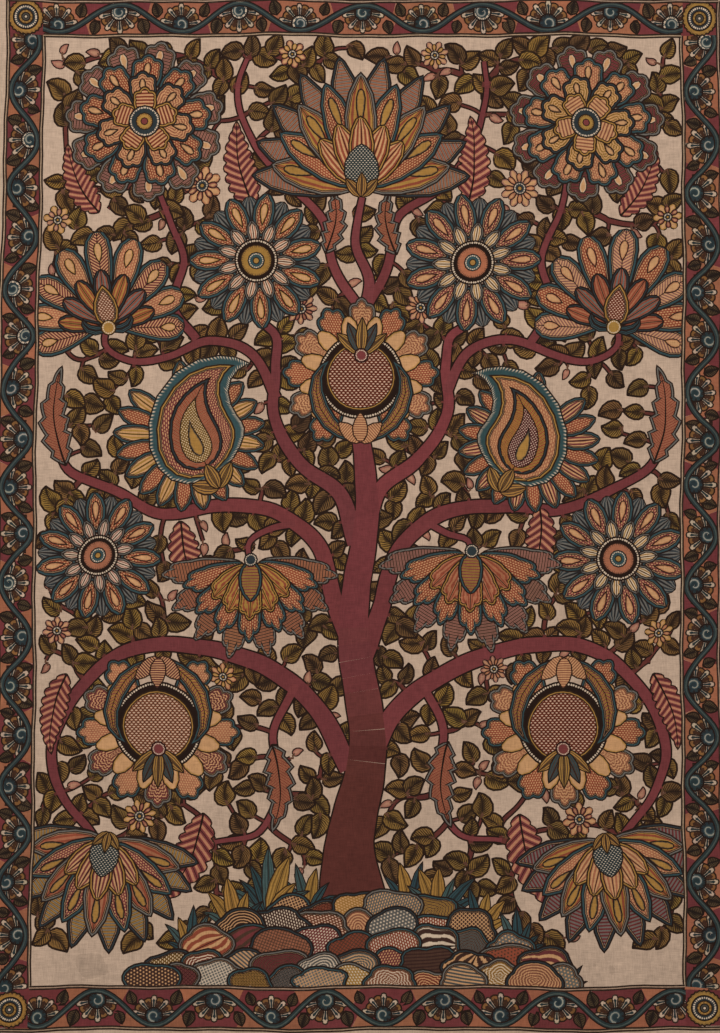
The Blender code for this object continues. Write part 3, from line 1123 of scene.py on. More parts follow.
def draw_band(start, end, outward, depth, bays, first_side):
    """One side of the border, from one corner square to the next."""
    start, end, outward = np.asarray(start), np.asarray(end), np.asarray(outward)
    length = np.linalg.norm(end - start)
    forward = (end - start) / length

    def onto_band(points):
        points = np.asarray(points)
        return start + points[..., :1] * forward + points[..., 1:] * outward

    even = np.linspace(0, 1, bays + 1)
    crossings = length * (even + np.concatenate([[0], hand.normal(0, 0.0035, bays - 1), [0]]))
    along = np.linspace(0, length, bays * STEPS_PER_BAY + 1)
    phase = pi * np.interp(along, crossings, np.arange(bays + 1))
    swing = first_side * (depth / 2 - RULE_HALF - VINE_HALF + 0.001) * np.sin(phase)
    vine = np.stack([along, swing], axis=1)

    for bay in range(bays):
        pieces = slice(bay * STEPS_PER_BAY, (bay + 1) * STEPS_PER_BAY + 1)
        for half, band_side in enumerate((1, -1)):
            edge = np.full(STEPS_PER_BAY + 1, band_side * depth / 2)
            middle = (vine[pieces, 1] + edge) / 2
            reach = np.abs(edge - vine[pieces, 1]) / 2
            odd = (bay + half) % 2
            blade(onto_band(np.stack([vine[pieces, 0], middle], axis=1)), reach, reach,
                  look(BAND_MADDER if odd else BAND_SALMON, outline=0))
    for bay in range(bays):
        side = first_side * (-1) ** bay
        gap = crossings[bay + 1] - crossings[bay]
        for crossing, lean in ((crossings[bay] + 0.10 * gap, 1), (crossings[bay + 1] - 0.10 * gap, -1)):
            place = np.array([crossing, -side * 0.25 * depth])
            size = BORDER_LEAF * hand.uniform(0.9, 1.1)
            ahead, _ = ahead_and_aside(-side * (pi / 2 + lean * 0.30))
            spine = place + np.linspace(-size / 2, size / 2, 6)[:, None] * ahead
            share = np.linspace(0, 1, 6)
            half = 0.38 * size * np.sin(pi * share**0.8) ** 0.8
            blade(onto_band(spine), half, half,
                  look(BORDER_OLIVE, "hatch", 3.0, mark=HATCHING, outline=1.5))
    for bay in range(bays):
        side = first_side * (-1) ** bay
        middle = np.array([(crossings[bay] + crossings[bay + 1]) / 2, side * 0.18 * depth])
        size = min(HALF_ROSETTE, 0.64 * depth) * hand.uniform(0.96, 1.04)
        draw_half_rosette(onto_band, middle, -side, size, hand.random() < 0.2)
    stroke(onto_band(vine), VINE_HALF + 0.0019, INK)
    stroke(onto_band(vine), VINE_HALF, VINE_TEAL)
    stroke(onto_band(vine + np.array([0, 0.0008])), 0.0009, VINE_LIGHT)


def draw_rule(start, end):
    """A ruled double line: two pen lines with the pale ground between them."""
    start, end = np.asarray(start), np.asarray(end)
    steps = round(np.linalg.norm(end - start) / RULE_STEP)
    path = start + np.linspace(0, 1, steps + 1)[:, None] * (end - start)
    half = np.full(len(path), RULE_HALF)
    blade(path, half, half, look(RULE_PALE, outline=1.7))


def draw_corner(x, y, radius, square):
    """A corner square with a fringed ochre disc, a dark ring of white beads and a cream heart."""
    corners = np.array([x, y]) + square * np.array([[-1, -1], [1, -1], [1, 1], [-1, 1]])
    fan((x, y), corners, look(BAND_MADDER, outline=0))
    steps = 48
    fringe = radius * (1 - 0.06 * (np.arange(steps) % 2))
    outline = np.array([x, y]) + fringe[:, None] * unit_steps(full_turn(steps))
    fan((x, y), outline, look(OCHRE, "teeth", 2.8, mark=UMBER, outline=1.5))
    spot(x, y, 0.70 * radius, look(DEEP_TEAL, "beads", 4.2, mark=BONE, outline=1.4), steps=24)
    spot(x, y, 0.42 * radius, look(OCHRE, "teeth", 2.6, mark=UMBER, outline=1.2), steps=18)
    spot(x, y, 0.26 * radius, look(DISC_GREY, "plain", outline=1.2), steps=14)
    spot(x, y, 0.12 * radius, look(BONE, outline=1.0), steps=10)


def draw_border():
    """Four bands, the corner squares over their ends, and the ruled lines over all."""
    left = (OUTER_LEFT + FIELD_LEFT) / 2
    right = (OUTER_RIGHT + FIELD_RIGHT) / 2
    bottom = (OUTER_BOTTOM + FIELD_BOTTOM) / 2
    top = (OUTER_TOP + FIELD_TOP) / 2
    side_depth = FIELD_LEFT - OUTER_LEFT
    draw_band((left, bottom), (left, top), (-1, 0), side_depth, SIDE_BAYS, 1)
    draw_band((right, bottom), (right, top), (1, 0), OUTER_RIGHT - FIELD_RIGHT, SIDE_BAYS, -1)
    draw_band((left, bottom), (right, bottom), (0, -1), FIELD_BOTTOM - OUTER_BOTTOM, BOTTOM_BAYS, 1)
    draw_band((left, top), (right, top), (0, 1), OUTER_TOP - FIELD_TOP, TOP_BAYS, -1)
    for x in (left, right):
        for y, depth in ((bottom, FIELD_BOTTOM - OUTER_BOTTOM), (top, OUTER_TOP - FIELD_TOP)):
            draw_corner(x, y, CORNER_DISC, min(side_depth, depth) / 2)
    for left, right, bottom, top in ((OUTER_LEFT, OUTER_RIGHT, OUTER_BOTTOM, OUTER_TOP),
                                     (FIELD_LEFT, FIELD_RIGHT, FIELD_BOTTOM, FIELD_TOP)):
        for x in (left, right):
            draw_rule((x, bottom), (x, top))
        for y in (bottom, top):
            draw_rule((left, y), (right, y))


draw_border()


# The cloth itself. The drawn shapes lie over one another, and what shows of them is cut into one flat
# mesh of triangles, each with its own shape's dye and place. That mesh is the painted face, and it is
# closed by a folded edge and a back to one thin sheet.
SPOT = 0.0007
SAMPLE = 0.0005
THINNEST = 0.00001
SLIVER = 0.00004
STRAIGHT = 0.02
JOIN_ROUNDS = 6
SPREAD_ROUNDS = 60


def spot_numbers(corners):
    """The number of the topmost triangle at each spot of a fine grid, painted in drawing order."""
    width = round(MEAN_WIDTH / SPOT) + 3
    height = round(LENGTH / SPOT) + 3
    spots = np.zeros((height, width), np.int32)
    scaled_corners = (corners + np.array([MEAN_WIDTH, LENGTH]) / 2) / SPOT + 1
    counts = [len(shape) for shape, *_ in painting]
    starts = running_total(counts)
    for first, count in list(zip(starts, counts))[1:]:
        together = count < 120
        for start in ([first] if together else range(first, first + count)):
            scaled = scaled_corners[start: start + count] if together else scaled_corners[start: start + 1]
            low = np.floor(scaled.min(axis=(0, 1))).astype(int)
            high = np.ceil(scaled.max(axis=(0, 1))).astype(int) + 1
            across, along = np.meshgrid(np.arange(low[0], high[0]) + 0.5, np.arange(low[1], high[1]) + 0.5)
            inside = np.ones((len(scaled),) + across.shape, bool)
            for k in range(3):
                here, there = scaled[:, k, None, None], scaled[:, (k + 1) % 3, None, None]
                run = there - here
                inside &= run[..., 0] * (along - here[..., 1]) - run[..., 1] * (across - here[..., 0]) >= 0
            covered = inside.any(axis=0)
            window = spots[low[1]: high[1], low[0]: high[0]]
            window[covered[: window.shape[0], : window.shape[1]]] = start + inside.argmax(axis=0)[covered]
    return spots


def numbers_near(spots, points, offset=(0, 0)):
    """The spot numbers at points of the painting, moved by whole spots."""
    column = ((points[:, 0] + MEAN_WIDTH / 2) / SPOT + 1 + offset[0]).astype(int)
    row = ((points[:, 1] + LENGTH / 2) / SPOT + 1 + offset[1]).astype(int)
    return spots[np.clip(row, 0, spots.shape[0] - 1), np.clip(column, 0, spots.shape[1] - 1)]


def showing_segments(spots, points, index, drawn, shape_of):
    """The stretches of the triangles' drawn edges that show, each run a little under what covers it."""
    edges = np.sort(np.concatenate([index[drawn[:, k]][:, [k, (k + 1) % 3]] for k in range(3)]), axis=1)
    shape = np.concatenate([shape_of[drawn[:, k]] for k in range(3)])
    keys = np.unique(np.column_stack([edges, shape]), axis=0)
    start, end, shape = points[keys[:, 0]], points[keys[:, 1]], keys[:, 2]
    length = np.linalg.norm(end - start, axis=1)
    count = np.ceil(length / SAMPLE).astype(int) + 1
    edge_of = np.repeat(np.arange(len(keys)), count)
    first = running_total(count)
    share = (np.arange(len(edge_of)) - first[edge_of]) / (count[edge_of] - 1)
    at = start[edge_of] + share[:, None] * (end - start)[edge_of]
    aside = ((end - start) / length[:, None])[edge_of][:, ::-1] * np.array([-1, 1]) * 0.6 * SPOT
    shows = np.zeros(len(at), bool)
    for move in (-1, 0, 1):
        shows |= shape_of[numbers_near(spots, at + move * aside)] == shape[edge_of]
    same = edge_of[1:] == edge_of[:-1]
    wider = shows.copy()
    wider[1:] |= shows[:-1] & same
    wider[:-1] |= shows[1:] & same
    opens = wider & ~np.concatenate([[False], wider[:-1] & same])
    closes = wider & ~np.concatenate([wider[1:] & same, [False]])
    return at[opens], at[closes]


def owners_of(spots, middles, corners):
    """The topmost triangle over each point, out of those that the spots round it show."""
    best = np.zeros(len(middles), int)
    for across in (-1, 0, 1):
        for along in (-1, 0, 1):
            number = numbers_near(spots, middles, (across, along))
            inside = number > best
            for k in range(3):
                run = corners[number, (k + 1) % 3] - corners[number, k]
                inside &= cross(run, middles - corners[number, k]) >= -1e-12
            best[inside] = number[inside]
    return best


def edge_numbers(triangles, count, backwards=False):
    """One number for each edge of each triangle, run round it anticlockwise or backwards."""
    start, end = triangles, np.roll(triangles, -1, axis=1)
    return end * count + start if backwards else start * count + end


def looked_up(keys, values, wanted):
    """The value that stands under each wanted key, or -1."""
    order = np.argsort(keys)
    at = np.minimum(np.searchsorted(keys[order], wanted), len(keys) - 1)
    return np.where(keys[order][at] == wanted, values[order][at], -1)


def across_edges(triangles, owners, count):
    """What the neighbour over each edge of each triangle shows, or -1 at the cloth's edge."""
    numbers = edge_numbers(triangles, count).ravel()
    return looked_up(numbers, np.repeat(owners, 3), edge_numbers(triangles, count, True))


def join_slivers(points, triangles, owners):
    """Gives each triangle that is thinner than a thread to the neighbour over its longest edge."""
    for _ in range(2):
        sides = points[np.roll(triangles, -1, axis=1)] - points[triangles]
        lengths = np.linalg.norm(sides, axis=2)
        doubled = cross(sides[:, 0], sides[:, 1])
        beyond = across_edges(triangles, owners, len(points))
        beyond = beyond[np.arange(len(triangles)), lengths.argmax(axis=1)]
        thin = (np.abs(doubled) < SLIVER * lengths.max(axis=1)) & (beyond >= 0)
        owners = np.where(thin, beyond, owners)
    return owners


def joined_runs(points, start, end, shown, fixed):
    """Leaves out points where only two lines meet in a straight run. Lines are given both ways."""
    for _ in range(JOIN_ROUNDS):
        pairs = np.unique(np.sort(np.stack([start, end], axis=1), axis=1), axis=0)
        one, other = np.concatenate([pairs, pairs[:, ::-1]]).T
        order = np.argsort(one, kind="stable")
        one, other = one[order], other[order]
        degree = np.bincount(one, minlength=len(points))
        first = np.searchsorted(one, np.arange(len(points)))
        double = np.flatnonzero((degree == 2) & ~fixed)
        near, far = other[first[double]], other[first[double] + 1]
        run = points[far] - points[near]
        gap = points[double] - points[near]
        along = (run * gap).sum(axis=1) / np.maximum((run * run).sum(axis=1), 1e-12)
        straight = off_line(points[double], points[near], points[far]) < STRAIGHT
        straight &= (along > 0) & (along < 1)
        double, near, far = double[straight], near[straight], far[straight]
        dropped = np.zeros(len(points), bool)
        dropped[double] = True
        kept = (dropped[near] & (near < double)) | (dropped[far] & (far < double))
        dropped[double[kept]] = False
        both = np.zeros(len(points), int)
        both[double] = near + far
        leaves = ~dropped[start]
        start, end, shown = start[leaves], end[leaves].copy(), shown[leaves]
        turned = dropped[end]
        end[turned] = both[end[turned]] - start[turned]
    return start, end, shown


def cut_again(points, triangles, owners, part_of):
    """Cuts the cloth along only those edges that part two of the painting's parts from each other."""
    count = len(points)
    beyond = across_edges(triangles, owners, count)
    parts = np.where(beyond >= 0, part_of[beyond], -1) != part_of[owners][:, None]
    inward = edge_distance(*points.T)[np.stack([triangles, np.roll(triangles, -1, axis=1)], axis=2)]
    for fold in (HEM_WIDTH, HEM_WIDTH + HEM_STEP):
        parts |= (np.abs(inward - fold) < 1e-7).all(axis=2)
    numbers = edge_numbers(triangles, count)[parts]
    shown = np.repeat(owners, 3).reshape(-1, 3)[parts]
    in_margin = edge_distance(*points.T) < HEM_WIDTH + HEM_STEP + 1e-7
    start, end, shown = joined_runs(points, numbers // count, numbers % count, shown, in_margin)
    used, renumbered = np.unique(np.stack([start, end], axis=1), return_inverse=True)
    lines = np.unique(np.sort(renumbered.reshape(-1, 2), axis=1), axis=0)
    cut = delaunay_2d_cdt(points[used].tolist(), lines.tolist(), [], 0, 1e-9, True)
    fresh = [number for number, origin in enumerate(cut[3]) if not origin]
    source = np.array([used[origin[0]] if origin else 0 for origin in cut[3]])
    source[fresh] = count + np.arange(len(fresh))
    points = np.concatenate([points, np.array([tuple(cut[0][number]) for number in fresh]).reshape(-1, 2)])
    count = len(points)
    triangles = source[np.array(cut[2])]
    owners = looked_up(start * count + end, shown, edge_numbers(triangles, count)).max(axis=1)
    for _ in range(SPREAD_ROUNDS):
        if owners.min() >= 0:
            break
        owners = np.where(owners < 0, across_edges(triangles, owners, count).max(axis=1), owners)
    used, renumbered = np.unique(triangles, return_inverse=True)
    return points[used], renumbered.reshape(-1, 3), owners


def flat_cloth():
    """Cuts the painting into one flat mesh.

    Returns its points, its triangles, the drawn triangle and the shape that each one shows, and the
    shape at each spot of the fine grid.
    """
    corners = np.round(np.concatenate([corners for corners, *_ in painting]), 6)
    counts = [len(shape) for shape, *_ in painting]
    shape_of = np.repeat(np.arange(len(painting)), counts)
    *_, doubled = triangle_sides(corners)
    longest = np.linalg.norm(corners - np.roll(corners, 1, axis=1), axis=2).max(axis=1)
    sound = doubled > THINNEST * longest
    points, index = np.unique(corners.reshape(-1, 2), axis=0, return_inverse=True)
    index = index.reshape(-1, 3)
    drawn = np.concatenate([lines for _, _, lines, *_ in painting]) & sound[:, None]
    spots = spot_numbers(corners)
    opens, closes = showing_segments(spots, points, index, drawn, shape_of)
    for inset in (0, HEM_WIDTH, HEM_WIDTH + HEM_STEP):
        starts, ends = rectangle_lines(inset)
        opens = np.vstack([opens, starts])
        closes = np.vstack([closes, ends])
    ends, lines = np.unique(np.round(np.concatenate([opens, closes]), 6), axis=0, return_inverse=True)
    lines = lines.reshape(2, -1).T
    lines = np.unique(np.sort(lines[lines[:, 0] != lines[:, 1]], axis=1), axis=0)
    cut = delaunay_2d_cdt(ends.tolist(), lines.tolist(), [], 0, 1e-7, False)
    points = np.array([tuple(point) for point in cut[0]])
    triangles = np.array(cut[2])
    owners = owners_of(spots, points[triangles].mean(axis=1), corners)
    owners = join_slivers(points, triangles, owners)

    first_of = running_total(counts)
    flat_dye = np.array([shape_look["pattern"] == 0 and not any(shape_look["lines"])
                         for *_, shape_look, _ in painting])
    part_of = np.where(flat_dye[shape_of], first_of[shape_of], np.arange(len(corners)))
    points, triangles, owners = cut_again(points, triangles, owners, part_of)
    return points, triangles, owners, shape_of[owners], shape_of[spots]


def places_at(points, corners, places):
    """The places of new corners inside old triangles, by the flat slope of each old triangle."""
    side_a, side_b, doubled = triangle_sides(corners)
    gap = points - corners[:, None, 0]
    share_a = np.clip(cross(gap, side_b[:, None]) / doubled[:, None], -1, 2)[..., None]
    share_b = np.clip(cross(side_a[:, None], gap) / doubled[:, None], -1, 2)[..., None]
    return (places[:, None, 0] + share_a * (places[:, None, 1] - places[:, None, 0])
            + share_b * (places[:, None, 2] - places[:, None, 0]))


flat_points, front_triangles, owners, shapes, shape_spots = flat_cloth()
owner_corners = np.concatenate([corners for corners, *_ in painting])[owners]
owner_places = np.concatenate([places for _, places, *_ in painting])[owners]
corner_places = places_at(flat_points[front_triangles], owner_corners, owner_places)
FOLD = 0.0006
BACK_GAP = 0.0004


def laid(points, height):
    """Points of the painting on the lying cloth, at a height over its underside."""
    x, y, lift = lay_on_cloth(points[:, 0], points[:, 1])
    return np.stack([x, y, lift + height], axis=1)


def front_height(points):
    """The painted face's height over the underside: the hem's, then down its step to the cloth's."""
    return np.interp(edge_distance(*points.T), [HEM_WIDTH, HEM_WIDTH + HEM_STEP], [HEM_TOP, CLOTH_TOP])


def upward(points):
    """The painted face's directions, from the slopes of the lying cloth a millimetre to each side."""
    slopes = []
    for step in ((0.001, 0), (0, 0.001)):
        ahead, behind = points + step, points - step
        slopes.append(laid(ahead, front_height(ahead)) - laid(behind, front_height(behind)))
    return np.cross(slopes[0], slopes[1])


def drawn_in(points):
    """Points on the cloth's edge moved inwards a little, where the fold's round begins."""
    limit = np.array([MEAN_WIDTH, LENGTH]) / 2 - FOLD
    return np.clip(points, -limit, limit)


def closed_band(near, far):
    """The triangles between two rings of points, given by their numbers."""
    next_near, next_far = np.roll(near, -1), np.roll(far, -1)
    return [np.stack([near, far, next_far], axis=1), np.stack([near, next_far, next_near], axis=1)]


def whole_sheet():
    """Front, folded edge and back in one closed skin.

    Returns its points, its triangles, the direction each point faces, and the back's grid with the
    number of its first point.
    The back is a grid that shares the front's stations along the edge. Its hem is flat on the surface
    and the cloth inside the hem stands a little off it.
    """
    edge_starts, _ = rectangle_lines(0)
    turn = edge_starts[np.unique(np.round(edge_starts, 6), axis=0, return_index=True)[1]]
    turn = turn[np.argsort(np.arctan2(turn[:, 1], turn[:, 0]))]
    number = {tuple(point): k for k, point in enumerate(np.round(flat_points, 6).tolist())}
    front_edge = np.array([number[tuple(point)] for point in np.round(turn, 6).tolist()])
    parts = [laid(drawn_in(flat_points), front_height(flat_points))]
    directions = [upward(flat_points)]
    faces = [front_triangles]
    outward = np.sign(turn) * (np.abs(turn) > np.array([MEAN_WIDTH, LENGTH]) / 2 - 1e-6)

    last = front_edge
    for height, tilt in ((0.75 * HEM_TOP, 0.5), (0.25 * HEM_TOP, -0.5)):
        ring = len(np.concatenate(parts)) + np.arange(len(turn))
        parts.append(laid(turn, height))
        directions.append(np.column_stack([outward, np.full(len(turn), tilt)]))
        faces += closed_band(last, ring)
        last = ring

    grid_x, grid_y = np.meshgrid(columns, rows)
    grid = np.stack([grid_x.ravel(), grid_y.ravel()], axis=1)
    first = len(np.concatenate(parts))
    inward = edge_distance(*grid.T)
    parts.append(laid(drawn_in(grid), np.interp(inward, [HEM_WIDTH, HEM_WIDTH + HEM_STEP], [0, BACK_GAP])))
    directions.append(-upward(grid))
    corner = first + np.arange(len(grid)).reshape(grid_x.shape)
    near, far = corner[:-1, :-1].ravel(), corner[1:, 1:].ravel()
    right, above = corner[:-1, 1:].ravel(), corner[1:, :-1].ravel()
    back_number = {tuple(point): first + k for k, point in enumerate(np.round(grid, 6).tolist())}
    back_edge = np.array([back_number[tuple(point)] for point in np.round(turn, 6).tolist()])
    faces += closed_band(last, back_edge)
    faces += [np.stack([near, above, far], axis=1), np.stack([near, far, right], axis=1)]
    directions = np.concatenate(directions)
    directions /= np.linalg.norm(directions, axis=1)[:, None]
    return np.concatenate(parts), np.concatenate(faces), directions, grid, first


places, faces, directions, back_grid, first_back = whole_sheet()
mesh = bpy.data.meshes.new("painted_cotton")
mesh.from_pydata(places.tolist(), [], faces.tolist())
painted_cotton = bpy.data.objects.new("painted_cotton", mesh)
bpy.context.collection.objects.link(painted_cotton)


def put_attribute(name, front_values, other_values):
    """Writes one colour or vector for each corner of each triangle under a name that the material reads.

    The front's corners come first, then those of the folded edge and of the back.
    """
    size = front_values.shape[1]
    kind, field = ("FLOAT_COLOR", "color") if size == 4 else ("FLOAT_VECTOR", "vector")
    attribute = mesh.attributes.new(name, kind, "CORNER")
    values = np.concatenate([front_values, np.broadcast_to(other_values, (other_corners, size))])
    attribute.data.foreach_set(field, np.ascontiguousarray(values, dtype=np.float32).ravel())


def shape_values(name):
    """One look's value of each shape, spread to the corners of the triangles that show it."""
    return np.repeat(np.array([shape_look[name] for *_, shape_look, _ in painting])[shapes], 3, axis=0)


SOAK = 6
SHOW_THROUGH = 0.55


def soaked_through(points):
    """The dyes that reach the back at points of it: the painting's, spread a few millimetres, and paler."""
    dyes = np.array([shape_look["dye"] for *_, shape_look, _ in painting])
    inked = np.array([min(0.5, 0.12 * shape_look["lines"][0]) for *_, shape_look, _ in painting])[:, None]
    picture = (dyes * (1 - inked) + INK * inked)[shape_spots]
    sums = np.pad(picture.cumsum(axis=0).cumsum(axis=1), ((1, 0), (1, 0), (0, 0)))
    middle = ((points + np.array([MEAN_WIDTH, LENGTH]) / 2) / SPOT + 1).astype(int)
    low = np.maximum(middle - SOAK, 0)
    high = np.minimum(middle + SOAK, np.array(picture.shape[1::-1]))
    total = (sums[high[:, 1], high[:, 0]] - sums[low[:, 1], high[:, 0]]
             - sums[high[:, 1], low[:, 0]] + sums[low[:, 1], low[:, 0]])
    mean = total / np.prod(high - low, axis=1)[:, None]
    return GROUND + SHOW_THROUGH * (mean - GROUND)


front_corners = 3 * len(front_triangles)
other_corners = 3 * len(faces) - front_corners
lots = np.repeat(np.array([lot for *_, lot in painting])[shapes], 3, axis=0)
strength = 1 + 0.055 * lots[:, :1] + 0.020 * lots[:, 1:]
opaque = np.ones((front_corners, 1))
back_dye = np.tile(np.append(GROUND, 1.0), (len(places), 1))
back_dye[first_back:, :3] = soaked_through(back_grid)
put_attribute("dye", np.hstack([shape_values("dye") * strength, opaque]),
              back_dye[faces.ravel()[front_corners:]])
put_attribute("mark_dye", np.hstack([shape_values("mark"), opaque]), (*GROUND, 1))
put_attribute("rim_dye", np.hstack([shape_values("rim"), opaque]), (*GROUND, 1))
put_attribute("place", corner_places.reshape(-1, 3), (0, 0, DEEP_INSIDE))
put_attribute("lines", shape_values("lines"), (0, 0, 0))
put_attribute("filling", np.stack([shape_values("pattern"), shape_values("period"),
                                   np.zeros(front_corners)], axis=1), (0, 4, 0))


# The dyed cotton's finish. Pen lines, bands and fillings are worked out from each corner's place in
# its shape, and then dye, ink and weave are made uneven, as hand work on hand-loomed cloth is.
def plug(tree, value, socket):
    """Feeds a node's socket from another node, or sets it to a fixed number or colour."""
    if isinstance(value, Value):
        value = value.socket
    if isinstance(value, bpy.types.NodeSocket):
        tree.links.new(value, socket)
    else:
        socket.default_value = value


class Value:
    """A number that changes over a surface, held by a shader node's socket."""

    def __init__(self, tree, socket):
        self.tree = tree
        self.socket = socket

    def math(self, operation, *others):
        node = self.tree.nodes.new("ShaderNodeMath")
        node.operation = operation
        for slot, value in enumerate((self, *others)):
            plug(self.tree, value, node.inputs[slot])
        return Value(self.tree, node.outputs[0])

    def __add__(self, other):
        return self.math("ADD", other)

    def __sub__(self, other):
        return self.math("SUBTRACT", other)

    def __mul__(self, other):
        return self.math("MULTIPLY", other)

    def __truediv__(self, other):
        return self.math("DIVIDE", other)

    def size(self):
        return self.math("ABSOLUTE")

    def part(self):
        """What is left after the whole number below."""
        return self.math("FRACT")

    def whole(self):
        return self.math("FLOOR")

    def most(self, other):
        return self.math("MAXIMUM", other)

    def equals(self, other):
        return self.math("COMPARE", other, 0.25)

    def ramp(self, low, high):
        """Goes smoothly from 0 at low to 1 at high, or the other way where low is the larger."""
        node = self.tree.nodes.new("ShaderNodeMapRange")
        node.interpolation_type = "SMOOTHSTEP"
        for slot, value in (("Value", self), ("From Min", low), ("From Max", high)):
            plug(self.tree, value, node.inputs[slot])
        return Value(self.tree, node.outputs["Result"])


def new_group(name, inputs, outputs):
    """A shader node group with named sockets, its input node and its output node."""
    group = bpy.data.node_groups.new(name, "ShaderNodeTree")
    for socket, kind in inputs:
        group.interface.new_socket(socket, in_out="INPUT", socket_type=kind)
    for socket, kind in outputs:
        group.interface.new_socket(socket, in_out="OUTPUT", socket_type=kind)
    return group, group.nodes.new("NodeGroupInput"), group.nodes.new("NodeGroupOutput")


def split(tree, socket):
    """The three numbers of a vector."""
    node = tree.nodes.new("ShaderNodeSeparateXYZ")
    tree.links.new(socket, node.inputs[0])
    return [Value(tree, output) for output in node.outputs]


def noise(tree, place, scale, detail=2.0, stretch=None):
    """Cloudy noise from 0 to 1, its lumps about 1/scale across, stretched where asked."""
    if stretch is not None:
        mapping = tree.nodes.new("ShaderNodeMapping")
        mapping.inputs["Scale"].default_value = stretch
        tree.links.new(place, mapping.inputs["Vector"])
        place = mapping.outputs["Vector"]
    node = tree.nodes.new("ShaderNodeTexNoise")
    node.inputs["Scale"].default_value = scale
    node.inputs["Detail"].default_value = detail
    tree.links.new(place, node.inputs["Vector"])
    return Value(tree, node.outputs["Fac"])


FLOAT = "NodeSocketFloat"
VECTOR = "NodeSocketVector"


def drawing_group():
    """Masks of the drawing: pen lines, the band inside them, the pale line, and the filling's marks."""
    tree, given, result = new_group(
        "pen and brush",
        [("Place", VECTOR), ("Lines", VECTOR), ("Filling", VECTOR), ("Surface", VECTOR)],
        [("Ink", FLOAT), ("Band", FLOAT), ("Pale", FLOAT), ("Mark", FLOAT)],
    )
    u, v, inside = split(tree, given.outputs["Place"])
    outline, rim, pale = split(tree, given.outputs["Lines"])
    kind, period, _ = split(tree, given.outputs["Filling"])
    tremble = noise(tree, given.outputs["Surface"], 210) - 0.5
    patch = noise(tree, given.outputs["Surface"], 70) - 0.5
    inside = inside + tremble * 0.7
    off_spine = v.size()
    depth = off_spine / (off_spine + inside).most(0.01)

    def lattice_cell(step_along, step_across):
        """Where a point lies in its cell of a brick lattice, from the cell's middle, in millimetres."""
        row = (v / step_across).whole()
        shift = (row * 0.5).part() * step_along
        along = ((u + shift) / step_along).part() - 0.5
        across = (v / step_across).part() - 0.5
        return along * step_along, across * step_across

    def within(along, across, half_length, half_width):
        """1 inside an ellipse, with a soft edge."""
        a = along / half_length
        b = across / half_width
        return (a * a + b * b).ramp(1.25, 0.75)

    def lines_of(phase, share, soft=0.12):
        """1 on lines that take up a share of each period."""
        return ((phase.part() - 0.5).size() * 2).ramp(share + soft, share - soft)

    slanted = (u - off_spine * 0.8) / period
    hatch = lines_of(slanted + tremble * 0.5, 0.48, 0.2)
    hatch_reach = (depth + patch * 0.6).ramp(1.0, 0.5)
    core = (depth + patch * 1.2).ramp(0.46, 0.10) * 0.85
    midrib = off_spine.ramp(1.3, 0.6)
    dash_a, dash_b = lattice_cell(period, period * 0.72)
    barb = (u - off_spine * 0.75) / period
    scale_row = (u / (period * 0.55)).whole()
    scale_shift = (scale_row * 0.5).part() * period
    scale_a = (u / (period * 0.55)).part() * period * 0.55
    scale_b = (((v + scale_shift) / period).part() - 0.5) * period
    reach = (scale_a * scale_a + scale_b * scale_b).math("SQRT") / period
    dot_a, dot_b = lattice_cell(period, period * 0.87)
    bead_a = ((u / period).part() - 0.5) * period
    marks = {
        "hatch": (hatch * hatch_reach).most(midrib).most(core),
        "dashes": within(dash_a, dash_b, period * 0.34, period * 0.19),
        "barbs": lines_of(barb, 0.40),
        "scales": reach.ramp(0.30, 0.20),
        "dots": within(dot_a, dot_b, period * 0.24, period * 0.24),
        "contours": lines_of((inside / period).most(0.0), 0.36),
        "lattice": lines_of((u + v) / period, 0.26).most(lines_of((u - v) / period, 0.26)),
        "stripes": lines_of(depth * 3.0, 0.45),
        "beads": within(bead_a, inside - outline - period * 0.5, period * 0.36, period * 0.36),
        "glow": (inside + tremble * 2.0).ramp(period * 0.45, period * 1.3),
        "teeth": lines_of(u / period, 0.42) * inside.ramp(period * 2.2, period * 0.8),
        "ribs": lines_of(u / period, 0.42),
    }
    inks = {
        "barbs": lines_of(barb + 0.5, 0.10, 0.06).most(off_spine.ramp(1.0, 0.4)),
        "scales": (reach - 0.50).size().ramp(0.11, 0.04),
        "contours": lines_of((inside / period) + 0.5, 0.12, 0.08),
        "stripes": off_spine.ramp(0.9, 0.4),
        "ribs": lines_of(u / period + 0.5, 0.12, 0.08),
    }

    def chosen(by_name):
        """What the shape's own pattern has in a set of marks."""
        total = kind * 0
        for name, value in by_name.items():
            total = total.most(value * kind.equals(float(PATTERNS.index(name))))
        return total

    soft = 0.30
    has_rim = rim.ramp(0.3, 0.6)
    has_pale = pale.ramp(0.3, 0.6)
    edge_ink = inside.ramp(outline + soft, outline - soft) * outline.ramp(0.2, 0.5)
    rim_end = outline + rim
    pale_end = rim_end + pale + 0.9
    rim_ink = (inside - rim_end - 0.45).size().ramp(1.05, 0.6) * has_rim
    pale_ink = (inside - pale_end - 0.40).size().ramp(0.85, 0.45) * has_pale
    band = inside.ramp(rim_end + 0.5, rim_end + 0.3) * has_rim
    pale_line = inside.ramp(pale_end + 0.2, pale_end) * has_pale
    clear_of_bands = (has_rim * -1 + 1).most(inside.ramp(rim_end, rim_end + 0.6))
    ink = edge_ink.most(rim_ink).most(pale_ink).most(chosen(inks) * clear_of_bands)
    for name, value in (("Ink", ink), ("Band", band), ("Pale", pale_line), ("Mark", chosen(marks))):
        tree.links.new(value.socket, result.inputs[name])
    return tree


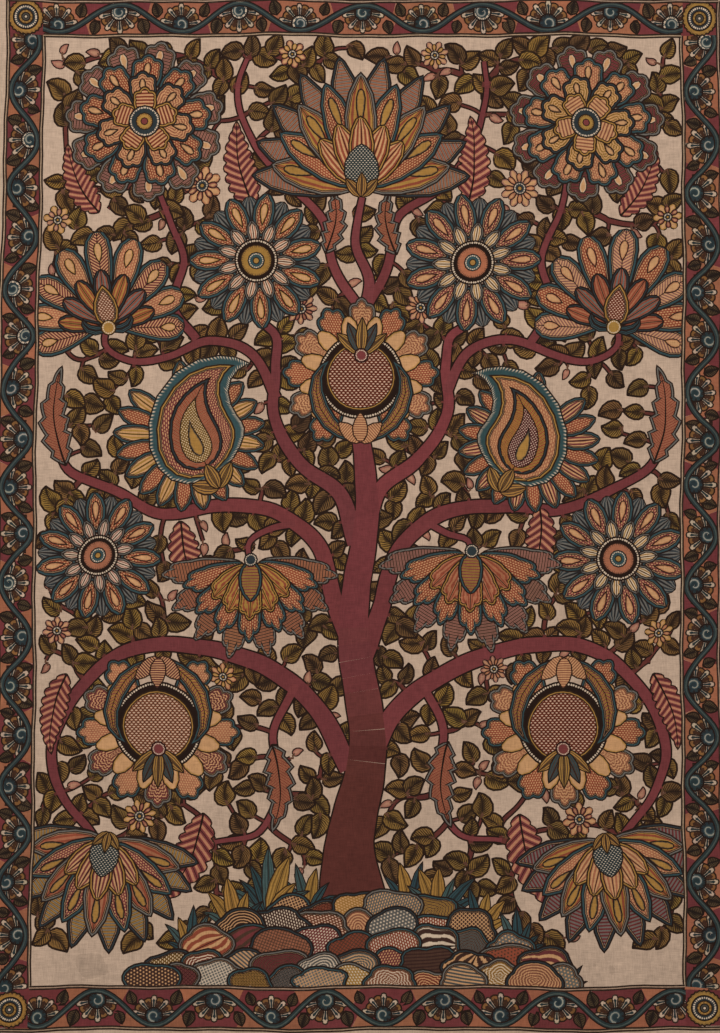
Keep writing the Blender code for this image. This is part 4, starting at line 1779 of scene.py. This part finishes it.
def weave_group():
    """A plain weave of uneven hand-spun threads: its height, and how light each thread took the dye, together
    with painted shade that makes the weave's raised crossings a little lighter.
    """
    tree, given, result = new_group(
        "plain weave",
        [("Surface", VECTOR), ("Threads per metre", FLOAT)],
        [("Height", FLOAT), ("Lightness", FLOAT)],
    )
    x, y, _ = split(tree, given.outputs["Surface"])
    count = Value(tree, given.outputs["Threads per metre"])
    weft_slub = noise(tree, given.outputs["Surface"], 60, 3.0, (1, 14, 1))
    warp_slub = noise(tree, given.outputs["Surface"], 60, 3.0, (14, 1, 1))
    wander = (warp_slub + weft_slub - 1) * 0.6
    warp = ((x * count + wander) * pi).math("SINE")
    weft = ((y * count + wander) * pi).math("SINE")
    over = warp * weft
    height = over * 0.5 + (warp_slub - 0.5) * 1.2 + (weft_slub - 0.5) * 1.2
    # How light each thread took the dye, plus painted shade of the weave: the crossings that the height
    # raises are painted a little lighter.
    dye_take_and_weave_shade = (warp_slub - 0.5) * 0.6 + (weft_slub - 0.5) * 0.6 + over * 0.10
    tree.links.new(height.socket, result.inputs["Height"])
    tree.links.new(dye_take_and_weave_shade.socket, result.inputs["Lightness"])
    return tree


def blend_colour(tree, share, first, second, mode="MIX"):
    """Two colours mixed by a share, which are sockets or fixed colours."""
    node = tree.nodes.new("ShaderNodeMix")
    node.data_type = "RGBA"
    node.blend_type = mode
    for slot, value in ((0, share), (6, first), (7, second)):
        plug(tree, (*value, 1) if isinstance(value, np.ndarray) else value, node.inputs[slot])
    return node.outputs[2]


def attribute(tree, name):
    """What the mesh says under a name: its colour socket and its vector socket."""
    node = tree.nodes.new("ShaderNodeAttribute")
    node.attribute_name = name
    return node.outputs["Color"], node.outputs["Vector"]


def new_material(name):
    """A material, its node tree and its shader."""
    material = bpy.data.materials.new(name)
    material.use_nodes = True
    return material, material.node_tree, material.node_tree.nodes["Principled BSDF"]


def raise_bumps(tree, shader, height, strength, distance):
    """Tilts a shader's normals by a height that changes over the surface."""
    bump = tree.nodes.new("ShaderNodeBump")
    bump.inputs["Strength"].default_value = strength
    bump.inputs["Distance"].default_value = distance
    plug(tree, height, bump.inputs["Height"])
    tree.links.new(bump.outputs["Normal"], shader.inputs["Normal"])


THREADS_PER_METRE = 2000
PALE_LINE = seen(178, 138, 106)


def cotton_material():
    """Matt cotton: tan ground, dyes with uneven strength, ink that soaks a little into the weave."""
    material, tree, shader = new_material("painted cotton")
    surface = tree.nodes.new("ShaderNodeTexCoord").outputs["Object"]

    drawing = tree.nodes.new("ShaderNodeGroup")
    drawing.node_tree = drawing_group()
    for socket, name in (("Place", "place"), ("Lines", "lines"), ("Filling", "filling")):
        tree.links.new(attribute(tree, name)[1], drawing.inputs[socket])
    tree.links.new(surface, drawing.inputs["Surface"])
    mask = {name: Value(tree, drawing.outputs[name]) for name in ("Ink", "Band", "Pale", "Mark")}

    threads = tree.nodes.new("ShaderNodeGroup")
    threads.node_tree = weave_group()
    threads.inputs["Threads per metre"].default_value = THREADS_PER_METRE
    tree.links.new(surface, threads.inputs["Surface"])

    cloudy = noise(tree, surface, 14, 3.0)
    blotchy = noise(tree, surface, 95, 4.0)
    colour = blend_colour(tree, mask["Mark"], attribute(tree, "dye")[0], attribute(tree, "mark_dye")[0])
    colour = blend_colour(tree, mask["Pale"], colour, PALE_LINE)
    colour = blend_colour(tree, mask["Band"], colour, attribute(tree, "rim_dye")[0])
    # Uneven dye and weave, with the weave's painted shade: its raised crossings are a little lighter.
    uneven = (cloudy - 0.5) * 0.34 + (blotchy - 0.5) * 0.42 + Value(tree, threads.outputs["Lightness"]) + 1
    grey = tree.nodes.new("ShaderNodeCombineXYZ")
    for slot in range(3):
        tree.links.new(uneven.socket, grey.inputs[slot])
    colour = blend_colour(tree, 1.0, colour, grey.outputs[0], "MULTIPLY")
    ink_strength = mask["Ink"] * (blotchy.ramp(0.15, 0.5) * 0.14 + 0.84)
    colour = blend_colour(tree, ink_strength, colour, INK)
    tree.links.new(colour, shader.inputs["Base Color"])

    roughness = (blotchy - 0.5) * 0.14 + 0.88
    tree.links.new(roughness.socket, shader.inputs["Roughness"])
    shader.inputs["Specular IOR Level"].default_value = 0.08
    shader.inputs["Sheen Weight"].default_value = 0.015
    shader.inputs["Sheen Roughness"].default_value = 0.6

    raise_bumps(tree, shader, threads.outputs["Height"], strength=0.35, distance=0.0003)
    return material


mesh.materials.append(cotton_material())
mesh.shade_smooth()
mesh.normals_split_custom_set_from_vertices(directions.tolist())

# The hem's sewing: a row of running stitches in undyed cotton thread, sewn by hand a little inside
# the hem's inner fold. Each stitch is a short spindle that dips into the cloth at both its ends.
STITCH_LINE = 0.0072
STITCH_PITCH = 0.0062
STITCH_LENGTH = 0.0036
THREAD = 0.00032
SPINDLE = (
    # place along half of the stitch, and width and height as shares of the thread
    (-1, 0.25, -0.5),
    (-0.6, 0.9, 0.15),
    (0.0, 1.0, 0.3),
    (0.6, 0.9, 0.15),
    (1, 0.25, -0.5),
)


def hem_stitches():
    """All the stitches as one mesh: four-sided spindles of five rings, none quite like the next."""
    reach = np.array([MEAN_WIDTH, LENGTH]) / 2 - STITCH_LINE
    middles, headings = [], []
    for axis in (0, 1):
        count = int(2 * reach[axis] / STITCH_PITCH)
        along = np.linspace(-reach[axis] + 0.003, reach[axis] - 0.003, count)
        for side in (-1, 1):
            place = np.empty((count, 2))
            place[:, axis] = along
            place[:, 1 - axis] = side * reach[1 - axis]
            middles.append(place)
            headings.append(np.full(count, axis * pi / 2))
    middles = np.concatenate(middles) + hand.normal(0, 0.00022, (sum(map(len, headings)), 2))
    headings = np.concatenate(headings) + hand.normal(0, 0.07, len(middles))
    half = STITCH_LENGTH / 2 * hand.uniform(0.82, 1.15, len(middles))
    ahead = unit_steps(headings)
    aside = np.stack([-ahead[:, 1], ahead[:, 0]], axis=1)
    rings = []
    for share, width, height in SPINDLE:
        for angle in (0, pi / 2, pi, 3 * pi / 2):
            flat = middles + (share * half)[:, None] * ahead + THREAD * width * cos(angle) * aside
            rings.append(laid(flat, HEM_TOP + THREAD * (height + 0.55 * width * sin(angle))))
    points = np.stack(rings, axis=1)
    corner = np.arange(4)
    quads = np.concatenate([np.stack([4 * ring + corner, 4 * ring + (corner + 1) % 4,
                                      4 * ring + 4 + (corner + 1) % 4, 4 * ring + 4 + corner], axis=1)
                            for ring in range(4)] + [np.array([[3, 2, 1, 0], [16, 17, 18, 19]])])
    all_quads = (20 * np.arange(len(points))[:, None, None] + quads).reshape(-1, 4)
    sewing = bpy.data.meshes.new("hem_stitches")
    sewing.from_pydata(points.reshape(-1, 3).tolist(), [], all_quads.tolist())
    sewing.shade_smooth()
    return bpy.data.objects.new("hem_stitches", sewing)


def thread_material():
    """Twisted cotton thread that took a little of the cloth's tan."""
    material, tree, shader = new_material("cotton thread")
    surface = tree.nodes.new("ShaderNodeTexCoord").outputs["Object"]
    worn = noise(tree, surface, 180, 3.0)
    colour = blend_colour(tree, worn.ramp(0.3, 0.7), seen(226, 210, 184), seen(196, 174, 144))
    tree.links.new(colour, shader.inputs["Base Color"])
    rough = (worn - 0.5) * 0.1 + 0.8
    tree.links.new(rough.socket, shader.inputs["Roughness"])
    x, y, _ = split(tree, surface)
    raise_bumps(tree, shader, ((x + y) * 5200).math("SINE"), strength=0.4, distance=0.0001)
    return material


stitches = hem_stitches()
stitches.data.materials.append(thread_material())
bpy.context.collection.objects.link(stitches)

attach(painted_cotton, "root")
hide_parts("painted_cloth")
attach(stitches, "root")

# The surface that the cloth lies on, the light and the camera. The floor is plain and pale. A large
# soft light hangs above, nearer the top of the cloth, in a bright even room.
bpy.ops.mesh.primitive_plane_add(size=12, location=(0, 0, -0.0004))
floor = bpy.context.active_object
floor.name = "floor"
floor_material, _, floor_shader = new_material("pale floor")
floor_shader.inputs["Base Color"].default_value = (0.62, 0.60, 0.57, 1)
floor_shader.inputs["Roughness"].default_value = 0.9
floor.data.materials.append(floor_material)

world = bpy.data.worlds.new("room")
world.use_nodes = True
world.node_tree.nodes["Background"].inputs["Color"].default_value = (1, 1, 1, 1)
world.node_tree.nodes["Background"].inputs["Strength"].default_value = 0.42
bpy.context.scene.world = world

lamp = bpy.data.lights.new("soft light", "AREA")
lamp.shape = "SQUARE"
lamp.size = 2.4
lamp.energy = 66
lamp_object = bpy.data.objects.new("soft light", lamp)
lamp_object.location = (-0.3, 1.1, 2.9)
lamp_object.rotation_euler = (radians(-20), radians(-6), 0)
bpy.context.collection.objects.link(lamp_object)

# The picture's middle is the middle of the painting, and its height takes in most of the cloth.
PICTURE_HEIGHT = 1.5495
CAMERA_HEIGHT = 3.2
SENSOR = 36.0
camera = bpy.data.cameras.new("camera")
camera.sensor_width = SENSOR
camera.lens = SENSOR * (CAMERA_HEIGHT - CLOTH_TOP) / PICTURE_HEIGHT
camera_object = bpy.data.objects.new("camera", camera)
middle_x, middle_y = cloth_middle()
camera_object.location = (-middle_x, -middle_y, CAMERA_HEIGHT)
bpy.context.collection.objects.link(camera_object)
bpy.context.scene.camera = camera_object
bpy.context.scene.view_settings.view_transform = "Standard"
